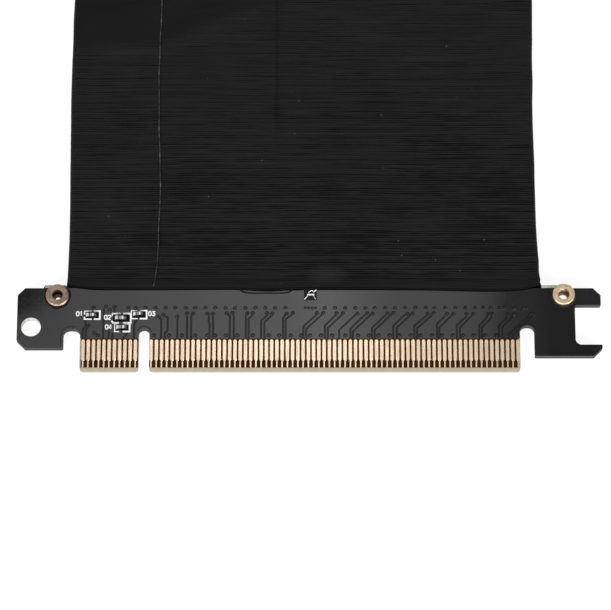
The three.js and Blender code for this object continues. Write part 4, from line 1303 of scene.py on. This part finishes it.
def housing():
    h = Bag()
    x0, x1 = S_CX - S_LEN / 2, S_CX + S_LEN / 2
    y0, y1 = S_CY - S_W / 2, S_CY + S_W / 2
    # body with soft edges: rings going up
    b = 0.18
    out = rounded(x0, y0, x1, y1, 0.4, 4)
    rings = [(inset(out, b), S_Z0), (out, S_Z0 + b), (out, S_Z1 - b), (inset(out, b * 0.3), S_Z1 - b * 0.3), (inset(out, b), S_Z1)]
    n = len(out)
    v = [(p[0], p[1], z) for ps, z in rings for p in ps]
    f = []
    for k in range(len(rings) - 1):
        for i in range(n):
            j = (i + 1) % n
            f.append([k * n + i, k * n + j, (k + 1) * n + j, (k + 1) * n + i])
    f.append([(len(rings) - 1) * n + i for i in range(n)])
    f.append(list(reversed(range(n))))
    body = solid("slot_housing_moulded", v, f)
    # what is cut out of it
    cut = Bag()
    c, l = 0.9, 0.6
    for a, z in ((S_X0, S_KEY0), (S_KEY1, S_X1)):
        sec = [(-c, S_Z1 - 8.9), (c, S_Z1 - 8.9), (c, S_Z1 - l), (c + l * 0.8, S_Z1 + 0.02), (c + l * 0.8, S_Z1 + 1), (-c - l * 0.8, S_Z1 + 1), (-c - l * 0.8, S_Z1 + 0.02), (-c, S_Z1 - l)]
        vv = [(a, S_CY + p, q) for p, q in sec] + [(z, S_CY + p, q) for p, q in sec]
        m = len(sec)
        ff = [[i, (i + 1) % m, m + (i + 1) % m, m + i] for i in range(m)]
        ff = [list(reversed(q)) for q in ff]
        ff += [[i for i in range(m)], [m + i for i in reversed(range(m))]]
        cut.add(vv, [list(reversed(q)) for q in ff])
    gapcut = solid("cut_gap", cut.v, cut.f)
    groove = Bag()
    for x in PIN_X:
        for s in (-1, 1):
            ya, yb = S_CY + s * 0.55, S_CY + s * 2.45
            ya, yb = min(ya, yb), max(ya, yb)
            pts = [(x - 0.31, ya), (x + 0.31, ya), (x + 0.31, yb), (x - 0.31, yb)]
            groove.prism(pts, S_Z0 - 1, S_Z1 - 1.0)
    groovecut = solid("cut_grooves", groove.v, groove.f)
    for tool in (gapcut, groovecut):
        md = body.modifiers.new("cut", "BOOLEAN")
        md.operation = "DIFFERENCE"
        md.solver = "EXACT"
        md.object = tool
    dg = bpy.context.evaluated_depsgraph_get()
    me = bpy.data.meshes.new_from_object(body.evaluated_get(dg))
    body.modifiers.clear()
    body.data = me
    for tool in (gapcut, groovecut):
        bpy.data.objects.remove(tool)
    # locating pegs go in as closed bits of the same piece
    extra = Bag()
    for x in PEG_X:
        extra.lathe(x, S_CY, [(0.0, S_Z0 - 1.4), (0.75, S_Z0 - 1.4), (0.95, S_Z0 - 1.2), (1.15, S_Z0 - 0.4), (1.15, S_Z0 + 0.3), (0.0, S_Z0 + 0.3)][::-1], 20, smooth=False, closed=False)
    e = solid("pegs", extra.v, extra.f)
    for q in e.data.polygons:
        q.use_smooth = False
    me2 = bpy.data.meshes.new("housing_all")
    import bmesh
    bm = bmesh.new()
    bm.from_mesh(body.data)
    bm.from_mesh(e.data)
    bmesh.ops.recalc_face_normals(bm, faces=bm.faces)
    bm.to_mesh(me2)
    bm.free()
    bpy.data.objects.remove(e)
    bpy.data.objects.remove(body)
    me2.materials.clear()
    me2.materials.append(HOUSING)
    for q in me2.polygons:
        q.use_smooth = False
        q.material_index = 0
    return put("slot_housing_moulded", me2, ["slot_housing"])


housing()


def contacts(row, s):
    """Bent spring contacts of one row, feet on the board, tips leaning to the card."""
    mid = [(4.55, BT + 0.14), (3.35, BT + 0.14), (3.1, BT + 0.30), (2.95, BT + 0.32), (2.15, BT + 0.32), (2.02, BT + 0.5), (2.0, BT + 3.0), (1.75, BT + 5.5),
           (1.15, BT + 7.6), (0.86, BT + 8.5), (0.84, BT + 8.9), (1.05, BT + 9.3), (1.45, BT + 9.9)]
    t = 0.09
    left, right = [], []
    for i, (y, z) in enumerate(mid):
        a, b = mid[max(0, i - 1)], mid[min(len(mid) - 1, i + 1)]
        d = Vector((b[0] - a[0], b[1] - a[1])).normalized()
        left.append((y - d.y * t, z + d.x * t))
        right.append((y + d.y * t, z - d.x * t))
    sec = left + right[::-1]
    n = len(sec)
    bag = Bag()
    for x in PIN_X:
        v = [(x - 0.21, S_CY + s * p, q) for p, q in sec] + [(x + 0.21, S_CY + s * p, q) for p, q in sec]
        f = [[i, (i + 1) % n, n + (i + 1) % n, n + i] for i in range(n)]
        # the two cut sides as strips of quads
        m = len(mid)
        for i in range(m - 1):
            f.append([i, n - 1 - i, n - 2 - i, i + 1])
            f.append([n + i, n + i + 1, n + n - 2 - i, n + n - 1 - i])
        if s < 0:
            f = [list(reversed(q)) for q in f]
        bag.add(v, f, 0)
        # solder on its foot
        w = 0.27
        prof = [(4.95, BT - 0.004), (4.9, BT + 0.05), (4.62, BT + 0.16), (4.0, BT + 0.13), (3.55, BT + 0.2), (3.3, BT + 0.06), (3.22, BT - 0.004)]
        v, f = [], []
        for side in (-1, 1):
            v += [(x + side * w, S_CY + s * p, q) for p, q in prof]
        k = len(prof)
        for i in range(k - 1):
            f.append([i, i + 1, k + i + 1, k + i])
        f.append([0, k, 2 * k - 1, k - 1])
        f.append(list(reversed(range(k))))
        f.append([k + i for i in range(k)])
        if s > 0:
            f = [list(reversed(q)) for q in f]
        bag.add(v, f, 1)
    o = bag.piece(f"contacts_{row}_springs", [CONTACT, TIN], [f"contacts_{row}_short", f"contacts_{row}_long"])
    import bmesh
    bm = bmesh.new()
    bm.from_mesh(o.data)
    bmesh.ops.recalc_face_normals(bm, faces=bm.faces)
    bm.to_mesh(o.data)
    bm.free()
    return o


contacts("front", -1)
contacts("rear", 1)

# relief and print on the slot board, plated rings round its holes
far = Bag()
for i, x in enumerate(PIN_X):
    if i % 3 == 2:
        continue
    y = 209.4 if i % 2 else 210.6
    via(far, x, y, BT, 1.0, 12)
    far.ridge([(x, y), (x, 214.5)], 0.25, 0.07, BT - 0.003, BT + 0.036)
    far.ridge([(x, y), (x + (0.3 if i % 2 else -0.3), 207.2), (x + (0.3 if i % 2 else -0.3), 203.8)], 0.25, 0.07, BT - 0.003, BT + 0.036)
    if i % 2:
        via(far, x, 226.4, BT, 1.0, 12)
        far.ridge([(x, 224.6), (x, 226.4)], 0.25, 0.07, BT - 0.003, BT + 0.036)
far.piece("slot_board_relief", [MASK])
ring = Bag()
for x, y in F_HOLES:
    for z0, s in ((BT, 1.0),):
        ring.lathe(x, y, [(1.75, z0 - 0.004), (2.75, z0 - 0.004), (2.72, z0 + 0.03), (1.78, z0 + 0.035), (1.74, z0 + 0.02)], 36, smooth=False)
ring.piece("slot_board_rings", [TIN])
ink = Bag()
INK_Z1 = BT + 0.040             # the print runs over the conductors here
xa, xb = S_CX - S_LEN / 2 - 0.7, S_CX + S_LEN / 2 + 0.7
ya, yb = S_CY - 5.6, S_CY + 5.6
stroke([(xa, yb - 1.6), (xa, yb), (xb, yb), (xb, yb - 1.6)], 0.2)
stroke([(xa, ya + 1.6), (xa, ya), (xb, ya), (xb, ya + 1.6)], 0.2)
write("1", xa - 1.6, S_CY - 0.6, 1.2)
ink.piece("slot_board_print", [INK])

# ---------------------------------------------------------------- studio
floor_me = bpy.data.meshes.new("floor")
S = 3.0
floor_me.from_pydata([(-S, -S, -2e-5), (S, -S, -2e-5), (S, S, -2e-5), (-S, S, -2e-5)], [], [[0, 1, 2, 3]])
floor = bpy.data.objects.new("floor", floor_me)
bpy.context.scene.collection.objects.link(floor)
FM = Mat("floor_white")
FM.set(color=FM.ramp(FM.noise(3.0, 2.0), [(0.3, (0.26, 0.26, 0.26)), (0.7, (0.27, 0.27, 0.27))]), rough=0.9, spec=0.0,
       emit=(1.0, 1.0, 1.0), emit_s=0.90)
floor_me.materials.append(FM.m)

world = bpy.data.worlds.new("studio")
bpy.context.scene.world = world
world.use_nodes = True
world.node_tree.nodes["Background"].inputs[0].default_value = (1.0, 1.0, 1.0, 1.0)
world.node_tree.nodes["Background"].inputs[1].default_value = 0.27


def area(name, at, size, watts, aim=(0.0, 30.0, 0.0)):
    d = bpy.data.lights.new(name, "AREA")
    d.shape = "RECTANGLE"
    d.size, d.size_y = size
    d.energy = watts
    o = bpy.data.objects.new(name, d)
    bpy.context.scene.collection.objects.link(o)
    o.location = mm(*at)
    o.rotation_euler = (Vector(mm(*aim)) - Vector(mm(*at))).to_track_quat("-Z", "Y").to_euler()
    o.visible_camera = False
    return o


area("key", (-560, -900, 560), (0.7, 0.5), 15.0)
area("fill", (820, -900, 480), (0.7, 0.4), 13.0)


def card(points, z, levels):
    """A flat glowing card that shows only as a reflection in the glossy board: its outline and
    its levels (x, radiance) are given where its mirror image lies on the board."""
    s = (z - BT) / (DIST * math.cos(TILT))
    cy = -DIST * math.sin(TILT)
    v = [mm(x * (1 + s), y + s * (y - cy), z) for x, y in points]
    me = bpy.data.meshes.new("card")
    me.from_pydata(v, [], [list(range(len(v)))])
    o = bpy.data.objects.new("card", me)
    bpy.context.scene.collection.objects.link(o)
    m = bpy.data.materials.new("card_light")
    m.use_nodes = True
    nt = m.node_tree
    nt.nodes.clear()
    new = nt.nodes.new
    out, em, co, sep, rng_, ramp = (new("ShaderNodeOutputMaterial"), new("ShaderNodeEmission"), new("ShaderNodeTexCoord"),
                                    new("ShaderNodeSeparateXYZ"), new("ShaderNodeMapRange"), new("ShaderNodeValToRGB"))
    x0, x1 = levels[0][0], levels[-1][0]
    rng_.inputs["From Min"].default_value = (x0 * (1 + s) + OX) / 1000
    rng_.inputs["From Max"].default_value = (x1 * (1 + s) + OX) / 1000
    e = ramp.color_ramp.elements
    while len(e) < len(levels):
        e.new(0.5)
    top = max(l for _, l in levels)
    for k, (x, l) in enumerate(levels):
        e[k].position = (x - x0) / (x1 - x0)
        e[k].color = (l / top, l / top, l / top, 1.0)
    em.inputs[1].default_value = top
    nt.links.new(co.outputs["Object"], sep.inputs[0])
    nt.links.new(sep.outputs[0], rng_.inputs["Value"])
    nt.links.new(rng_.outputs[0], ramp.inputs[0])
    nt.links.new(ramp.outputs[0], em.inputs[0])
    nt.links.new(em.outputs[0], out.inputs[0])
    me.materials.append(m)
    o.visible_camera = o.visible_diffuse = o.visible_shadow = False
    return o


card([(-47.5, 30.0), (-48.6, 2.8), (-49.6, 0.9), (-51.2, -1.2), (-55.0, -2.6), (-62.0, -3.4), (-62.0, -20.0), (48.0, -20.0),
      (47.2, -3.0), (46.6, 1.0), (46.0, 30.0)], 300.0,
     [(-62.0, 1.46), (-48.5, 1.28), (-44.0, 1.44), (-24.0, 1.84), (-13.0, 2.06), (-3.0, 2.25), (4.5, 2.70), (10.0, 2.16), (16.0, 1.64),
      (21.0, 1.56), (27.0, 1.56), (31.5, 1.40), (35.3, 1.14), (37.4, 0.88), (38.3, 0.29), (42.0, 0.56), (46.0, 0.32), (48.0, 0.05)])
card([(50.5, 4.6), (50.5, -0.6), (58.5, -0.6), (58.5, 4.6)], 301.0, [(50.5, 0.46), (58.5, 0.56)])
card([(37.6, 0.4), (40.4, -2.6), (41.2, -6.5), (38.0, -6.5), (37.6, -2.0)], 299.0, [(37.6, 0.6), (41.2, 0.8)])

scene = bpy.context.scene
scene.view_settings.view_transform = "Standard"
scene.view_settings.look = "None"
scene.view_settings.exposure = 0.0
scene.view_settings.gamma = 1.0
